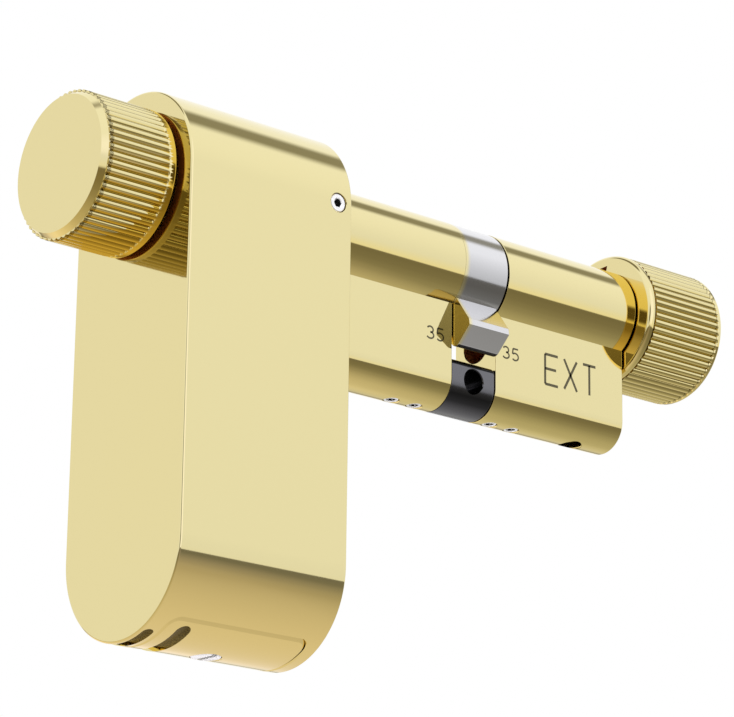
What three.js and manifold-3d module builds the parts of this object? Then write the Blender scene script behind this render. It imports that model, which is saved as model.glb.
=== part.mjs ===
// Electronic double-knob lock cylinder on the euro profile, with an electronics and battery module
// behind the indoor knob. Units are millimetres.
// +Y runs along the rotor axis from the indoor knob to the outdoor knob, +Z is up, and +X is the
// flank that carries the size marks. The origin is on the rotor axis, in the plane of the cam and
// of the fixing-screw hole.

import * as THREE from 'three';
import { mergeVertices } from 'three/addons/utils/BufferGeometryUtils.js';
import Module from 'manifold-3d';

const wasm = await Module();
wasm.setup();

// ---------------------------------------------------------------- driving dimensions

const FLUSH = 0.1; // gap between pieces that meet face to face
const RUN = 0.15; // radial gap of a piece that turns inside another
const BITE = 1; // how far a cutter reaches past the face that it cuts

// Euro profile: round head, flat stem, round bottom.
const HEAD_R = 8.5;
const STEM_HALF = 5;
const BOTTOM_R = STEM_HALF;
const PROFILE_BOTTOM = -24.5;
const OUTDOOR_END = 35;
const INDOOR_END = -41;
const POCKET_HALF = 4.95; // half width of the gap that the cam turns in
const BORE_R = 6.3;

// Bridge bar that ties the two halves together, with the fixing-screw hole.
const BRIDGE_TOP = -16.4;
const FIXING_Z = -19.5;
const FIXING_R = 2.1;
const TONGUE = { half: 2.7, low: -21.7, high: -17.8, reach: 16.5 };
const BRIDGE_SCREW_Y = [-13.9, -8.9, 8.0, 13.0];
const BRIDGE_SCREW_R = 1.3;
const DRAIN = { y: 27, r: 2, depth: 6 }; // blind hole under the outdoor half

// Cam: ring between the halves, with a lug that throws the bolt.
const CAM = { low: -4.85, high: 4.6, bore: 5.25, lugHalf: 2.55, lugReach: 14.9, chamfer: 0.8 };
const CAM_REST_ANGLE = THREE.MathUtils.degToRad(30); // lug, from straight down towards +X
const KEY = { half: 0.8, reach: 6.2, gap: 0.2 }; // rotor keys that drive the cam

// Rotors.
const ROTOR_R = BORE_R - RUN;
const NECK_R = CAM.bore - RUN;
const ROTOR_TAIL = -44; // the indoor rotor's end, inside the module
const SHAFT_R = 4;
const SQUARE = 2.4; // half width of the square that joins the indoor shaft to its rotor
const CLIP = { r: 7.4, groove: 5.4, wide: 0.8 };
const CLUTCH = { r: 1.9, bore: 2.1, low: 2.5, high: 12 }; // slides 3 mm into the indoor rotor

// Electronics module: a tub with round top and bottom, closed by a plate against the door.
const MODULE = { half: 14.6, top: 0.5, bottom: -58, front: -67.3, back: -35.2 };
const WALL = 1.3;
const FRONT_WALL = 1.8;
const BACK_PLATE = 1.6;
const SIDE_SCREW = { y: -37.9, z: 0.4, r: 1.55 };
const BACK_SCREW = { r: 1.1, head: 1.9, boss: 2.4, spots: [[8.9, 7], [-8.9, 7], [11, -56], [-11, -56]] };

// Battery door in the round bottom of the module.
const DOOR = { front: -64.1, back: -37.4, half: 9.05, corner: 2, gap: 0.15 };
const DOOR_MID = (DOOR.front + DOOR.back) / 2;
const GRIP = { y: -60.4, half: 1.25, reach: 7.9, depth: 0.75 };
const NOTCH = { front: -66.8, back: -64.9, reach: 6.1, depth: 0.9 };
const DOOR_SCREW = { r: 2.4, shank: 0.85, face: 0.25, head: 0.7, tip: -62 };

// Cells, upright on each side of the screw post.
const CELL = { r: 5.95, low: -68.6, high: -38.4, offset: 7.2 };
const HOLDER = { half: 7.6, reach: 12.9, low: -68.3, high: -36.8 };

// Gear train from the motor to the indoor rotor.
const COARSE = 0.6; // gear modules
const FINE = 0.5;
const TEETH = { main: 30, small: 12, wheel: 18, pinion: 9 };
const IDLER_ANGLE = THREE.MathUtils.degToRad(220); // from straight up, towards +X
const MOTOR_ANGLE = THREE.MathUtils.degToRad(122); // from the idler axle
const MOTOR_R = 4;
const MAIN_Y = [-47.7, -45.2]; // the planes that the two gear pairs run in
const FINE_Y = [-50.7, -48.7];
const BOARD_Y = [-65.3, -64.3];

// Knobs: fluted sleeves between plain discs.
const RIBS = 62;
const SLEEVE_BORE = 10.2;
const INDOOR_KNOB = { r: 11.94, root: 11.55, flat: 11.59, face: -81.66, rim: -80.94, lip: -70.2, back: -68.43 };
const OUTDOOR_KNOB = { r: 11.73, root: 11.35, flat: 11.2, back: 35.3, rim: 36.5, lip: 52.4, face: 53.1 };

// ---------------------------------------------------------------- solids

// A closed geometry as a solid that can be joined and cut, turned the right way out.
function solid(geometry) {
  const bare = geometry.index ? geometry.toNonIndexed() : geometry.clone();
  bare.deleteAttribute('normal');
  bare.deleteAttribute('uv');
  const merged = mergeVertices(bare, 1e-4);
  const points = merged.getAttribute('position').array;
  const corners = merged.index.array;
  const kept = [];
  let volume = 0;
  for (let i = 0; i < corners.length; i += 3) {
    const [a, b, c] = [corners[i], corners[i + 1], corners[i + 2]];
    if (a === b || b === c || c === a) continue;
    kept.push(a, b, c);
    const [p, q, r] = [a, b, c].map((k) => new THREE.Vector3().fromArray(points, 3 * k));
    volume += p.dot(q.cross(r));
  }
  if (volume < 0) kept.reverse();
  return new wasm.Manifold(new wasm.Mesh({
    numProp: 3,
    vertProperties: new Float32Array(points),
    triVerts: new Uint32Array(kept),
  }));
}

// The base and height directions of a prism drawn in the plane across each axis.
const BASES = {
  x: new THREE.Matrix4().set(0, 0, 1, 0, 1, 0, 0, 0, 0, 1, 0, 0, 0, 0, 0, 1),
  y: new THREE.Matrix4().set(1, 0, 0, 0, 0, 0, -1, 0, 0, 1, 0, 0, 0, 0, 0, 1),
  z: new THREE.Matrix4(),
};

// A prism along an axis between two heights. The outline is drawn in (y, z), (x, z) or (x, y).
function prism(outline, axis, low, high, curveSegments = 12) {
  const geometry = new THREE.ExtrudeGeometry(outline, {
    depth: high - low,
    bevelEnabled: false,
    curveSegments,
  });
  if (axis === 'y') geometry.translate(0, 0, -high);
  else geometry.translate(0, 0, low);
  return solid(geometry.applyMatrix4(BASES[axis]));
}

// A round rod along an axis, its centre given in the same plane as a prism's outline.
function rod(axis, radius, low, high, u = 0, v = 0, sides = 24) {
  const outline = new THREE.Shape();
  const points = Array.from({ length: sides }, (_, i) => (i + 0.5) * 2 * Math.PI / sides);
  outline.setFromPoints(points.map((a) => (
    new THREE.Vector2(u + radius * Math.cos(a), v + radius * Math.sin(a)))));
  return prism(outline, axis, low, high);
}

// A block between two corners.
function block(low, high) {
  const size = high.map((value, i) => value - low[i]);
  const geometry = new THREE.BoxGeometry(...size);
  return solid(geometry.translate(...low.map((value, i) => value + size[i] / 2)));
}

// A turned piece about the rotor axis, from its (radius, y) profile.
function turned(profile, sides = 32) {
  const points = profile.map(([r, y]) => new THREE.Vector2(r, y));
  points.push(points[0].clone());
  return solid(new THREE.LatheGeometry(points, sides));
}

// The named mesh of a finished solid.
function piece(name, body, material) {
  const { vertProperties, triVerts } = body.getMesh();
  const geometry = new THREE.BufferGeometry();
  geometry.setAttribute('position', new THREE.BufferAttribute(vertProperties, 3));
  geometry.setIndex(new THREE.BufferAttribute(triVerts, 1));
  const flat = geometry.toNonIndexed();
  flat.computeVertexNormals();
  const mesh = new THREE.Mesh(flat, material);
  mesh.name = name;
  return mesh;
}

// ---------------------------------------------------------------- outlines

// The euro profile, drawn in (x, z), drawn in by an even margin.
function euroOutline(margin = 0) {
  const head = HEAD_R - margin;
  const stem = STEM_HALF - margin;
  const bottom = PROFILE_BOTTOM + BOTTOM_R;
  const turn = Math.asin(stem / head);
  const outline = new THREE.Shape();
  outline.absarc(0, bottom, BOTTOM_R - margin, Math.PI, 2 * Math.PI, false);
  outline.absarc(0, 0, head, -Math.PI / 2 + turn, 1.5 * Math.PI - turn, false);
  outline.closePath();
  return outline;
}

// A slot shape: two half circles of one radius joined by straight sides, drawn upright.
function slotOutline(radius, low, high, middle = 0) {
  const outline = new THREE.Shape();
  outline.absarc(middle, low, radius, Math.PI, 2 * Math.PI, false);
  outline.absarc(middle, high, radius, 0, Math.PI, false);
  outline.closePath();
  return outline;
}

// A rectangle with round corners, about a centre.
function roundedOutline(u, v, halfU, halfV, radius) {
  const outline = new THREE.Shape();
  const corners = [[1, -1, -0.5], [1, 1, 0], [-1, 1, 0.5], [-1, -1, 1]];
  for (const [su, sv, start] of corners) {
    const from = start * Math.PI;
    outline.absarc(u + su * (halfU - radius), v + sv * (halfV - radius), radius,
      from, from + Math.PI / 2, false);
  }
  outline.closePath();
  return outline;
}

// A spur gear outline: each tooth is a trapezium from the root circle to the tip circle.
function gearOutline(teeth, size, phase = 0) {
  const pitch = teeth * size / 2;
  const step = 2 * Math.PI / teeth;
  const tip = pitch + 0.85 * size;
  const root = pitch - 1.1 * size;
  const corners = [[root, -0.33], [tip, -0.13], [tip, 0.13], [root, 0.33]];
  const points = [];
  for (let i = 0; i < teeth; i += 1) {
    for (const [r, share] of corners) {
      const a = phase + (i + share) * step;
      points.push(new THREE.Vector2(r * Math.sin(a), r * Math.cos(a)));
    }
  }
  return new THREE.Shape(points);
}

// A knob's fluted outline: a zigzag between the ribs' crests and the roots of the grooves.
function flutedOutline(crest, root) {
  const points = [];
  for (let i = 0; i < 2 * RIBS; i += 1) {
    const r = i % 2 ? root : crest;
    const a = i * Math.PI / RIBS;
    points.push(new THREE.Vector2(r * Math.cos(a), r * Math.sin(a)));
  }
  return new THREE.Shape(points);
}

// The module's inside or outside outline, drawn in (x, z).
function moduleOutline(margin = 0) {
  return slotOutline(MODULE.half - margin, MODULE.bottom, MODULE.top);
}

// ---------------------------------------------------------------- materials

function finish(color, metalness, roughness) {
  return new THREE.MeshStandardMaterial({ color, metalness, roughness });
}

const GOLD = finish(0xe6d9a0, 1, 0.08);
const NICKEL = finish(0xc4c5c8, 1, 0.12);
const DARK_STEEL = finish(0x3a3b3d, 1, 0.35);
const STEEL = finish(0xa9abad, 1, 0.3);
const BRASS = finish(0xc9a551, 1, 0.3);
const PLASTIC = finish(0x1b1c1e, 0, 0.5);
const BOARD = finish(0x1d5b36, 0, 0.45);
const CELL_WRAP = finish(0x4b5158, 0.2, 0.4);
const ACETAL = finish(0xe9e6dc, 0, 0.5);

// ---------------------------------------------------------------- cylinder halves

function cylinderHalf(low, high, screws) {
  let body = prism(euroOutline(), 'y', low, high, 14);
  body = body.subtract(rod('y', BORE_R, low - BITE, high + BITE, 0, 0, 32));
  const inner = low > 0 ? low : high;
  const reach = Math.sign(inner) * (TONGUE.reach + FLUSH);
  const channel = [Math.min(inner, reach), Math.max(inner, reach)];
  if (low > 0) channel[0] -= BITE;
  else channel[1] += BITE;
  body = body.subtract(block(
    [-TONGUE.half - FLUSH, channel[0], TONGUE.low - FLUSH],
    [TONGUE.half + FLUSH, channel[1], TONGUE.high + FLUSH],
  ));
  for (const y of screws) {
    body = body.subtract(rod('z', BRIDGE_SCREW_R + FLUSH, PROFILE_BOTTOM - BITE,
      TONGUE.low, 0, y, 16));
  }
  return body;
}

function indoorHalf() {
  const body = cylinderHalf(INDOOR_END, -POCKET_HALF, BRIDGE_SCREW_Y.filter((y) => y < 0));
  return piece('indoor_half', body, GOLD);
}

function outdoorHalf() {
  let body = cylinderHalf(POCKET_HALF, OUTDOOR_END, BRIDGE_SCREW_Y.filter((y) => y > 0));
  const drainTop = PROFILE_BOTTOM + DRAIN.depth;
  body = body.subtract(rod('z', DRAIN.r, PROFILE_BOTTOM - BITE, drainTop, 0, DRAIN.y, 20));
  const seat = OUTDOOR_END - CLIP.wide - 4 * FLUSH;
  body = body.subtract(rod('y', CLIP.r + FLUSH, seat, OUTDOOR_END + BITE, 0, 0, 32));
  return piece('outdoor_half', body, GOLD);
}

function bridgeBar() {
  const half = POCKET_HALF - FLUSH;
  const cap = block([-STEM_HALF - BITE, -half, BRIDGE_TOP], [STEM_HALF + BITE, half, 0]);
  let body = prism(euroOutline(), 'y', -half, half, 12).subtract(cap);
  body = body.subtract(rod('y', HEAD_R + BITE, -half - BITE, half + BITE, 0, 0, 32));
  body = body.add(block([-TONGUE.half, -TONGUE.reach, TONGUE.low],
    [TONGUE.half, TONGUE.reach, TONGUE.high]));
  body = body.subtract(rod('x', FIXING_R, -STEM_HALF - BITE, STEM_HALF + BITE, 0, FIXING_Z, 24));
  return piece('bridge_bar', body, DARK_STEEL);
}

function bridgeScrews() {
  return BRIDGE_SCREW_Y.map((y, i) => {
    const low = PROFILE_BOTTOM + 0.15;
    let body = rod('z', BRIDGE_SCREW_R, low, TONGUE.low - FLUSH, 0, y, 16);
    body = body.subtract(rod('z', 0.75, low - BITE, low + 1, 0, y, 6));
    return piece(`bridge_screw_${i + 1}`, body, STEEL);
  });
}

// ---------------------------------------------------------------- cam and rotors

// A pair of keys across the rotor axis, drawn across one line through the axis.
function keyBars(half, reach, low, high) {
  return block([-reach, low, -half], [reach, high, half]);
}

function cam() {
  const round = HEAD_R - 0.05;
  let lug = prism(new THREE.Shape([
    new THREE.Vector2(-CAM.lugHalf, -CAM.bore - RUN),
    new THREE.Vector2(-CAM.lugHalf, -CAM.lugReach + CAM.chamfer / 2),
    new THREE.Vector2(-CAM.lugHalf + CAM.chamfer / 2, -CAM.lugReach),
    new THREE.Vector2(CAM.lugHalf - CAM.chamfer, -CAM.lugReach),
    new THREE.Vector2(CAM.lugHalf, -CAM.lugReach + CAM.chamfer),
    new THREE.Vector2(CAM.lugHalf, -CAM.bore - RUN),
  ]), 'y', CAM.low, CAM.high);
  lug = lug.rotate([0, -THREE.MathUtils.radToDeg(CAM_REST_ANGLE), 0]);
  let body = rod('y', round, CAM.low, CAM.high, 0, 0, 40).add(lug);
  body = body.subtract(rod('y', CAM.bore, CAM.low - BITE, CAM.high + BITE, 0, 0, 28));
  body = body.subtract(keyBars(KEY.half + KEY.gap, KEY.reach + KEY.gap, CAM.low - BITE, -0.4));
  return piece('cam', body, NICKEL);
}

function clipGroove(y) {
  return turned([[CLIP.groove, y], [BORE_R + BITE, y], [BORE_R + BITE, y + CLIP.wide + 2 * FLUSH],
    [CLIP.groove, y + CLIP.wide + 2 * FLUSH]], 28);
}

function retainingClip(name, y) {
  let body = rod('y', CLIP.r, y, y + CLIP.wide, 0, 0, 28);
  body = body.subtract(rod('y', CLIP.groove + FLUSH, y - BITE, y + CLIP.wide + BITE, 0, 0, 28));
  body = body.subtract(block([-2, y - BITE, 0], [2, y + CLIP.wide + BITE, CLIP.r + BITE]));
  return piece(name, body, DARK_STEEL);
}

const INDOOR_CLIP_Y = INDOOR_END - CLIP.wide - 2 * FLUSH;
const OUTDOOR_CLIP_Y = OUTDOOR_END - CLIP.wide - 2 * FLUSH;

function indoorRotor() {
  let body = rod('y', ROTOR_R, ROTOR_TAIL, -POCKET_HALF - 2 * FLUSH, 0, 0, 32);
  body = body.add(rod('y', NECK_R, -POCKET_HALF - 1, -0.3, 0, 0, 28));
  body = body.add(keyBars(KEY.half, KEY.reach - KEY.gap, -POCKET_HALF - 0.5, -0.8));
  body = body.subtract(clipGroove(INDOOR_CLIP_Y - FLUSH));
  body = body.subtract(rod('y', CLUTCH.bore, -6, BITE, 0, 0, 20));
  body = body.subtract(block([-SQUARE - FLUSH, ROTOR_TAIL - BITE, -SQUARE - FLUSH],
    [SQUARE + FLUSH, ROTOR_TAIL + 6, SQUARE + FLUSH]));
  return piece('indoor_rotor', body, BRASS);
}

function outdoorRotor() {
  let body = rod('y', ROTOR_R, POCKET_HALF + 2 * FLUSH, OUTDOOR_KNOB.rim + 8, 0, 0, 32);
  body = body.add(rod('y', NECK_R, 0.3, POCKET_HALF + 1, 0, 0, 28));
  body = body.subtract(clipGroove(OUTDOOR_CLIP_Y - FLUSH));
  body = body.subtract(rod('y', CLUTCH.bore, 0, CLUTCH.high + 1, 0, 0, 20));
  body = body.subtract(rod('y', 1.35, OUTDOOR_KNOB.rim - 2, OUTDOOR_KNOB.rim + 8 + BITE, 0, 0, 16));
  return piece('outdoor_rotor', body, BRASS);
}

function clutchPin() {
  return piece('clutch_pin', rod('y', CLUTCH.r, CLUTCH.low, CLUTCH.high, 0, 0, 20), STEEL);
}

// ---------------------------------------------------------------- knobs

// A disc with one chamfered rim, from its wide side to its chamfered face.
function chamferedDisc(radius, flat, wide, rim, face, bore = 0) {
  const disc = turned([[0, wide], [radius, wide], [radius, rim], [flat, face], [0, face]], RIBS);
  return bore ? disc.subtract(rod('y', bore, Math.min(wide, face) - BITE,
    Math.max(wide, face) + BITE, 0, 0, 32)) : disc;
}

// The fluted sleeve of a knob, with a plain lip beyond the flutes.
function knobSleeve(knob, fluted, lip, bore) {
  let body = prism(flutedOutline(knob.r, knob.root), 'y', ...fluted);
  if (lip) body = body.add(rod('y', knob.r, ...lip, 0, 0, RIBS));
  const ends = [...fluted, ...(lip || [])];
  return body.subtract(rod('y', bore, Math.min(...ends) - BITE, Math.max(...ends) + BITE, 0, 0, 32));
}

function indoorKnob() {
  const k = INDOOR_KNOB;
  const cap = chamferedDisc(k.r, k.flat, k.rim + 0.3, k.rim, k.face);
  const sleeve = knobSleeve(k, [k.rim + 0.4, k.lip], [k.lip, k.back], SLEEVE_BORE);
  let hub = rod('y', SLEEVE_BORE - FLUSH, k.rim + 0.4, k.back - 1.2, 0, 0, 32);
  hub = hub.subtract(rod('y', SHAFT_R + FLUSH, k.rim + 4, k.back, 0, 0, 20));
  return [
    piece('indoor_knob_cap', cap, GOLD),
    piece('indoor_knob_sleeve', sleeve, GOLD),
    piece('indoor_knob_hub', hub, BRASS),
  ];
}

function outdoorKnob() {
  const k = OUTDOOR_KNOB;
  const back = chamferedDisc(k.r, k.flat, k.rim + 0.3, k.rim, k.back, ROTOR_R + FLUSH);
  const sleeve = knobSleeve(k, [k.rim + 0.4, k.lip - 0.4], null, SLEEVE_BORE);
  const cap = chamferedDisc(k.r, k.flat, k.lip - 0.3, k.lip, k.face);
  let hub = rod('y', SLEEVE_BORE - FLUSH, k.rim + 0.4, k.lip - 0.4, 0, 0, 32);
  hub = hub.subtract(rod('y', ROTOR_R + FLUSH, k.rim - BITE, k.rim + 8 + FLUSH, 0, 0, 32));
  hub = hub.subtract(rod('y', 1.45, k.rim, k.lip, 0, 0, 16));
  hub = hub.subtract(rod('y', 2.9, k.rim + 11, k.lip, 0, 0, 20));
  let screw = rod('y', 1.25, k.rim - 1.5, k.rim + 11.2, 0, 0, 16);
  screw = screw.add(rod('y', 2.75, k.rim + 11.1, k.rim + 13.6, 0, 0, 20));
  screw = screw.subtract(rod('y', 1.25, k.rim + 12.2, k.rim + 15, 0, 0, 6));
  return [
    piece('outdoor_knob_back', back, GOLD),
    piece('outdoor_knob_sleeve', sleeve, GOLD),
    piece('outdoor_knob_cap', cap, GOLD),
    piece('outdoor_knob_hub', hub, BRASS),
    piece('outdoor_knob_screw', screw, STEEL),
  ];
}

function indoorShaft() {
  let body = rod('y', SHAFT_R, INDOOR_KNOB.rim + 4.2, ROTOR_TAIL - 0.8, 0, 0, 20);
  body = body.add(block([-SQUARE, ROTOR_TAIL - 1, -SQUARE], [SQUARE, ROTOR_TAIL + 5, SQUARE]));
  return piece('indoor_shaft', body, STEEL);
}

// ---------------------------------------------------------------- module housing

// The battery opening or the door's blank, cut from the module's round bottom. It is a prism
// straight down through the bottom wall, drawn in (x, y).
function doorBlank(margin) {
  const outline = roundedOutline(0, DOOR_MID, DOOR.half - margin,
    (DOOR.back - DOOR.front) / 2 - margin, DOOR.corner);
  return prism(outline, 'z', MODULE.bottom - MODULE.half - BITE, MODULE.bottom - 6, 5);
}

function moduleShell() {
  let body = prism(moduleOutline(), 'y', MODULE.front, MODULE.back, 14);
  body = body.subtract(prism(moduleOutline(WALL), 'y', MODULE.front + FRONT_WALL,
    MODULE.back + BITE, 12));
  body = body.subtract(doorBlank(0));
  body = body.subtract(rod('y', 7.3, MODULE.front - BITE, MODULE.front + 4, 0, 0, 28));
  body = body.subtract(rod('x', SIDE_SCREW.r + FLUSH, 0, MODULE.half + BITE,
    SIDE_SCREW.y, SIDE_SCREW.z, 16));
  const notch = roundedOutline(0, (NOTCH.front + NOTCH.back) / 2, NOTCH.reach,
    (NOTCH.back - NOTCH.front) / 2, 0.9);
  const deep = prism(notch, 'z', MODULE.bottom - MODULE.half - BITE, MODULE.bottom, 4);
  const outer = prism(slotOutline(MODULE.half - NOTCH.depth, MODULE.bottom, MODULE.top), 'y',
    NOTCH.front - BITE, NOTCH.back + BITE, 12);
  body = body.subtract(deep.subtract(outer));
  for (const [x, z] of BACK_SCREW.spots) {
    const boss = rod('y', BACK_SCREW.boss, MODULE.back - 7, MODULE.back - BACK_PLATE - FLUSH, x, z, 20);
    body = body.add(boss.subtract(rod('y', BACK_SCREW.r + FLUSH, MODULE.back - 5,
      MODULE.back, x, z, 12)));
  }
  return piece('module_shell', body, GOLD);
}

function backPlate() {
  const low = MODULE.back - BACK_PLATE;
  let body = prism(moduleOutline(WALL + FLUSH), 'y', low, MODULE.back, 12);
  body = body.subtract(prism(euroOutline(-FLUSH), 'y', low - BITE, MODULE.back + BITE, 12));
  for (const [x, z] of BACK_SCREW.spots) {
    body = body.subtract(rod('y', BACK_SCREW.r + FLUSH, low - BITE, MODULE.back + BITE, x, z, 12));
    body = body.subtract(rod('y', BACK_SCREW.head + FLUSH, MODULE.back - 0.9,
      MODULE.back + BITE, x, z, 16));
  }
  body = body.subtract(rod('x', SIDE_SCREW.r + RUN, HEAD_R - BITE, MODULE.half + BITE,
    SIDE_SCREW.y, SIDE_SCREW.z, 16));
  return piece('module_back_plate', body, DARK_STEEL);
}

function backScrews() {
  return BACK_SCREW.spots.map(([x, z], i) => {
    let body = rod('y', BACK_SCREW.head, MODULE.back - 0.8, MODULE.back - 0.05, x, z, 16);
    body = body.add(rod('y', BACK_SCREW.r, MODULE.back - 4.5, MODULE.back - 0.7, x, z, 12));
    body = body.subtract(rod('y', 0.7, MODULE.back - 0.5, MODULE.back + BITE, x, z, 6));
    return piece(`back_screw_${i + 1}`, body, STEEL);
  });
}

function sideScrew() {
  const tip = HEAD_R + FLUSH;
  let body = rod('x', SIDE_SCREW.r, tip, MODULE.half - 0.15, SIDE_SCREW.y, SIDE_SCREW.z, 16);
  body = body.subtract(rod('x', 0.75, MODULE.half - 1.8, MODULE.half + BITE,
    SIDE_SCREW.y, SIDE_SCREW.z, 6));
  return piece('module_side_screw', body, STEEL);
}

function frontBush() {
  let body = rod('y', 7.2, MODULE.front + 0.2, MODULE.front + 2.9, 0, 0, 28);
  body = body.subtract(rod('y', SHAFT_R + RUN, MODULE.front - BITE, MODULE.front + 4, 0, 0, 24));
  return piece('front_bush', body, ACETAL);
}

// ---------------------------------------------------------------- battery door and cells

const DOOR_FACE = MODULE.bottom - MODULE.half; // lowest line of the door

function batteryDoor() {
  const outer = prism(moduleOutline(), 'y', DOOR.front, DOOR.back, 14);
  const inner = prism(moduleOutline(WALL), 'y', DOOR.front - BITE, DOOR.back + BITE, 12);
  let body = outer.subtract(inner).intersect(doorBlank(DOOR.gap));
  const grip = prism(roundedOutline(0, GRIP.y, GRIP.reach, GRIP.half, GRIP.half - 0.01), 'z',
    DOOR_FACE - BITE, MODULE.bottom, 5);
  const floor = prism(slotOutline(MODULE.half - GRIP.depth, MODULE.bottom, MODULE.top), 'y',
    DOOR.front - BITE, DOOR.back + BITE, 14);
  body = body.subtract(grip.subtract(floor));
  body = body.subtract(rod('z', DOOR_SCREW.r + FLUSH, DOOR_FACE - BITE,
    DOOR_FACE + DOOR_SCREW.face + DOOR_SCREW.head, 0, DOOR_MID, 20));
  body = body.subtract(rod('z', DOOR_SCREW.shank + RUN, DOOR_FACE - BITE, MODULE.bottom,
    0, DOOR_MID, 14));
  return piece('battery_door', body, GOLD);
}

function doorScrew() {
  const face = DOOR_FACE + DOOR_SCREW.face;
  let body = rod('z', DOOR_SCREW.r, face, face + DOOR_SCREW.head - FLUSH, 0, DOOR_MID, 20);
  body = body.add(rod('z', DOOR_SCREW.shank, face + 0.5, DOOR_SCREW.tip, 0, DOOR_MID, 14));
  body = body.subtract(block([-DOOR_SCREW.r - BITE, DOOR_MID - 0.35, face - BITE],
    [DOOR_SCREW.r + BITE, DOOR_MID + 0.35, face + 0.45]));
  return piece('door_screw', body, NICKEL);
}

function doorContact() {
  const high = CELL.low - 1.7;
  let body = block([-3.4, DOOR_MID - 11.5, high - 0.4], [3.4, DOOR_MID + 11.5, high]);
  for (const side of [-1, 1]) {
    const cone = new THREE.CylinderGeometry(1.6, 3, 1.3, 14).rotateX(Math.PI / 2);
    cone.translate(0, DOOR_MID + side * CELL.offset, high + 0.55);
    body = body.add(solid(cone));
  }
  body = body.subtract(rod('z', DOOR_SCREW.shank + 0.5, high - 2, high + 2, 0, DOOR_MID, 14));
  return piece('door_contact', body, BRASS);
}

function cells() {
  return [['cell_front', -1], ['cell_rear', 1]].map(([name, side]) => {
    const y = DOOR_MID + side * CELL.offset;
    const nub = 1;
    let body = rod('z', CELL.r, CELL.low, CELL.high - nub, 0, y, 24);
    body = body.add(rod('z', 1.9, CELL.high - nub - 0.2, CELL.high, 0, y, 14));
    return piece(name, body, CELL_WRAP);
  });
}

function cellHolder() {
  let body = prism(roundedOutline(0, DOOR_MID, HOLDER.half, HOLDER.reach, 2), 'z', HOLDER.low,
    HOLDER.high, 4);
  for (const side of [-1, 1]) {
    body = body.subtract(rod('z', CELL.r + FLUSH, HOLDER.low - BITE, CELL.high + 0.5, 0,
      DOOR_MID + side * CELL.offset, 24));
  }
  body = body.subtract(rod('z', DOOR_SCREW.shank + RUN, HOLDER.low - BITE,
    DOOR_SCREW.tip + 2, 0, DOOR_MID, 14));
  return piece('cell_holder', body, PLASTIC);
}

// ---------------------------------------------------------------- drive and electronics

const IDLER_REACH = COARSE * (TEETH.main + TEETH.small) / 2 + 0.05;
const IDLER = [IDLER_REACH * Math.sin(IDLER_ANGLE), IDLER_REACH * Math.cos(IDLER_ANGLE)];
const MOTOR_REACH = FINE * (TEETH.wheel + TEETH.pinion) / 2 + 0.05;
const MOTOR = [
  IDLER[0] + MOTOR_REACH * Math.sin(MOTOR_ANGLE),
  IDLER[1] + MOTOR_REACH * Math.cos(MOTOR_ANGLE),
];

// The phase that puts a gear in mesh: the driver's tooth nearest the line of centres meets a gap.
function meshPhase(driverTeeth, driverPhase, teeth, lineAngle) {
  const offset = (lineAngle - driverPhase) * driverTeeth / (2 * Math.PI);
  const share = offset - Math.floor(offset);
  return lineAngle + Math.PI + (share - 0.5) * 2 * Math.PI / teeth;
}

const SMALL_PHASE = meshPhase(TEETH.main, 0, TEETH.small, IDLER_ANGLE);
const PINION_PHASE = meshPhase(TEETH.wheel, 0, TEETH.pinion, MOTOR_ANGLE);

function gear(teeth, size, phase, range, centre) {
  return prism(gearOutline(teeth, size, phase), 'y', ...range).translate([centre[0], 0, centre[1]]);
}

function mainGear() {
  let body = gear(TEETH.main, COARSE, 0, MAIN_Y, [0, 0]);
  body = body.subtract(rod('y', SHAFT_R + FLUSH, -60, -40, 0, 0, 20));
  return piece('main_gear', body, BRASS);
}

function idlerGear() {
  let body = gear(TEETH.small, COARSE, SMALL_PHASE, [FINE_Y[1] - 0.1, MAIN_Y[1]], IDLER);
  body = body.add(gear(TEETH.wheel, FINE, 0, FINE_Y, IDLER));
  body = body.subtract(rod('y', 1 + RUN, -60, -40, ...IDLER, 14));
  return piece('idler_gear', body, ACETAL);
}

function idlerAxle() {
  return piece('idler_axle', rod('y', 1, FINE_Y[0] - 1, -43.5, ...IDLER, 14), STEEL);
}

function motorPinion() {
  const body = gear(TEETH.pinion, FINE, PINION_PHASE, FINE_Y, MOTOR);
  return piece('motor_pinion', body.subtract(rod('y', 0.75, -60, -40, ...MOTOR, 10)), BRASS);
}

function motor() {
  const face = FINE_Y[0] - 0.5;
  let body = rod('y', MOTOR_R, face - 12, face, ...MOTOR, 24);
  body = body.add(rod('y', 0.6, face - 1, FINE_Y[1], ...MOTOR, 10));
  return piece('drive_motor', body, STEEL);
}

function motorCradle() {
  const face = FINE_Y[0] - 0.5;
  const [x, z] = MOTOR;
  let body = block([x - 5.2, face - 9, HOLDER.high + FLUSH], [x + 5.2, face - 3, z - 0.6]);
  body = body.subtract(rod('y', MOTOR_R + FLUSH, face - 13, face + BITE, x, z, 24));
  return piece('motor_cradle', body, PLASTIC);
}

function gearCarrier() {
  let body = prism(slotOutline(WALL + 11, -9, 0), 'y', -44.4, -43.2, 10);
  body = body.subtract(rod('y', ROTOR_R + 1, -46, -42, 0, 0, 28));
  body = body.subtract(rod('y', 1 + FLUSH, -46, -42, ...IDLER, 14));
  return piece('gear_carrier', body, PLASTIC);
}

function circuitBoard() {
  const outline = roundedOutline(0, -35.5, 11.2, 26, 1.5);
  return piece('circuit_board', prism(outline, 'y', ...BOARD_Y, 3), BOARD);
}

function boardParts() {
  const chip = block([-9.5, BOARD_Y[1] + 0.05, -19.5], [-3.5, BOARD_Y[1] + 0.95, -13.5]);
  const plug = block([5, BOARD_Y[1] + 0.05, -21], [9.5, BOARD_Y[1] + 2.6, -17.5]);
  return [piece('radio_chip', chip, PLASTIC), piece('board_connector', plug, ACETAL)];
}

// ---------------------------------------------------------------- assembly

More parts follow.
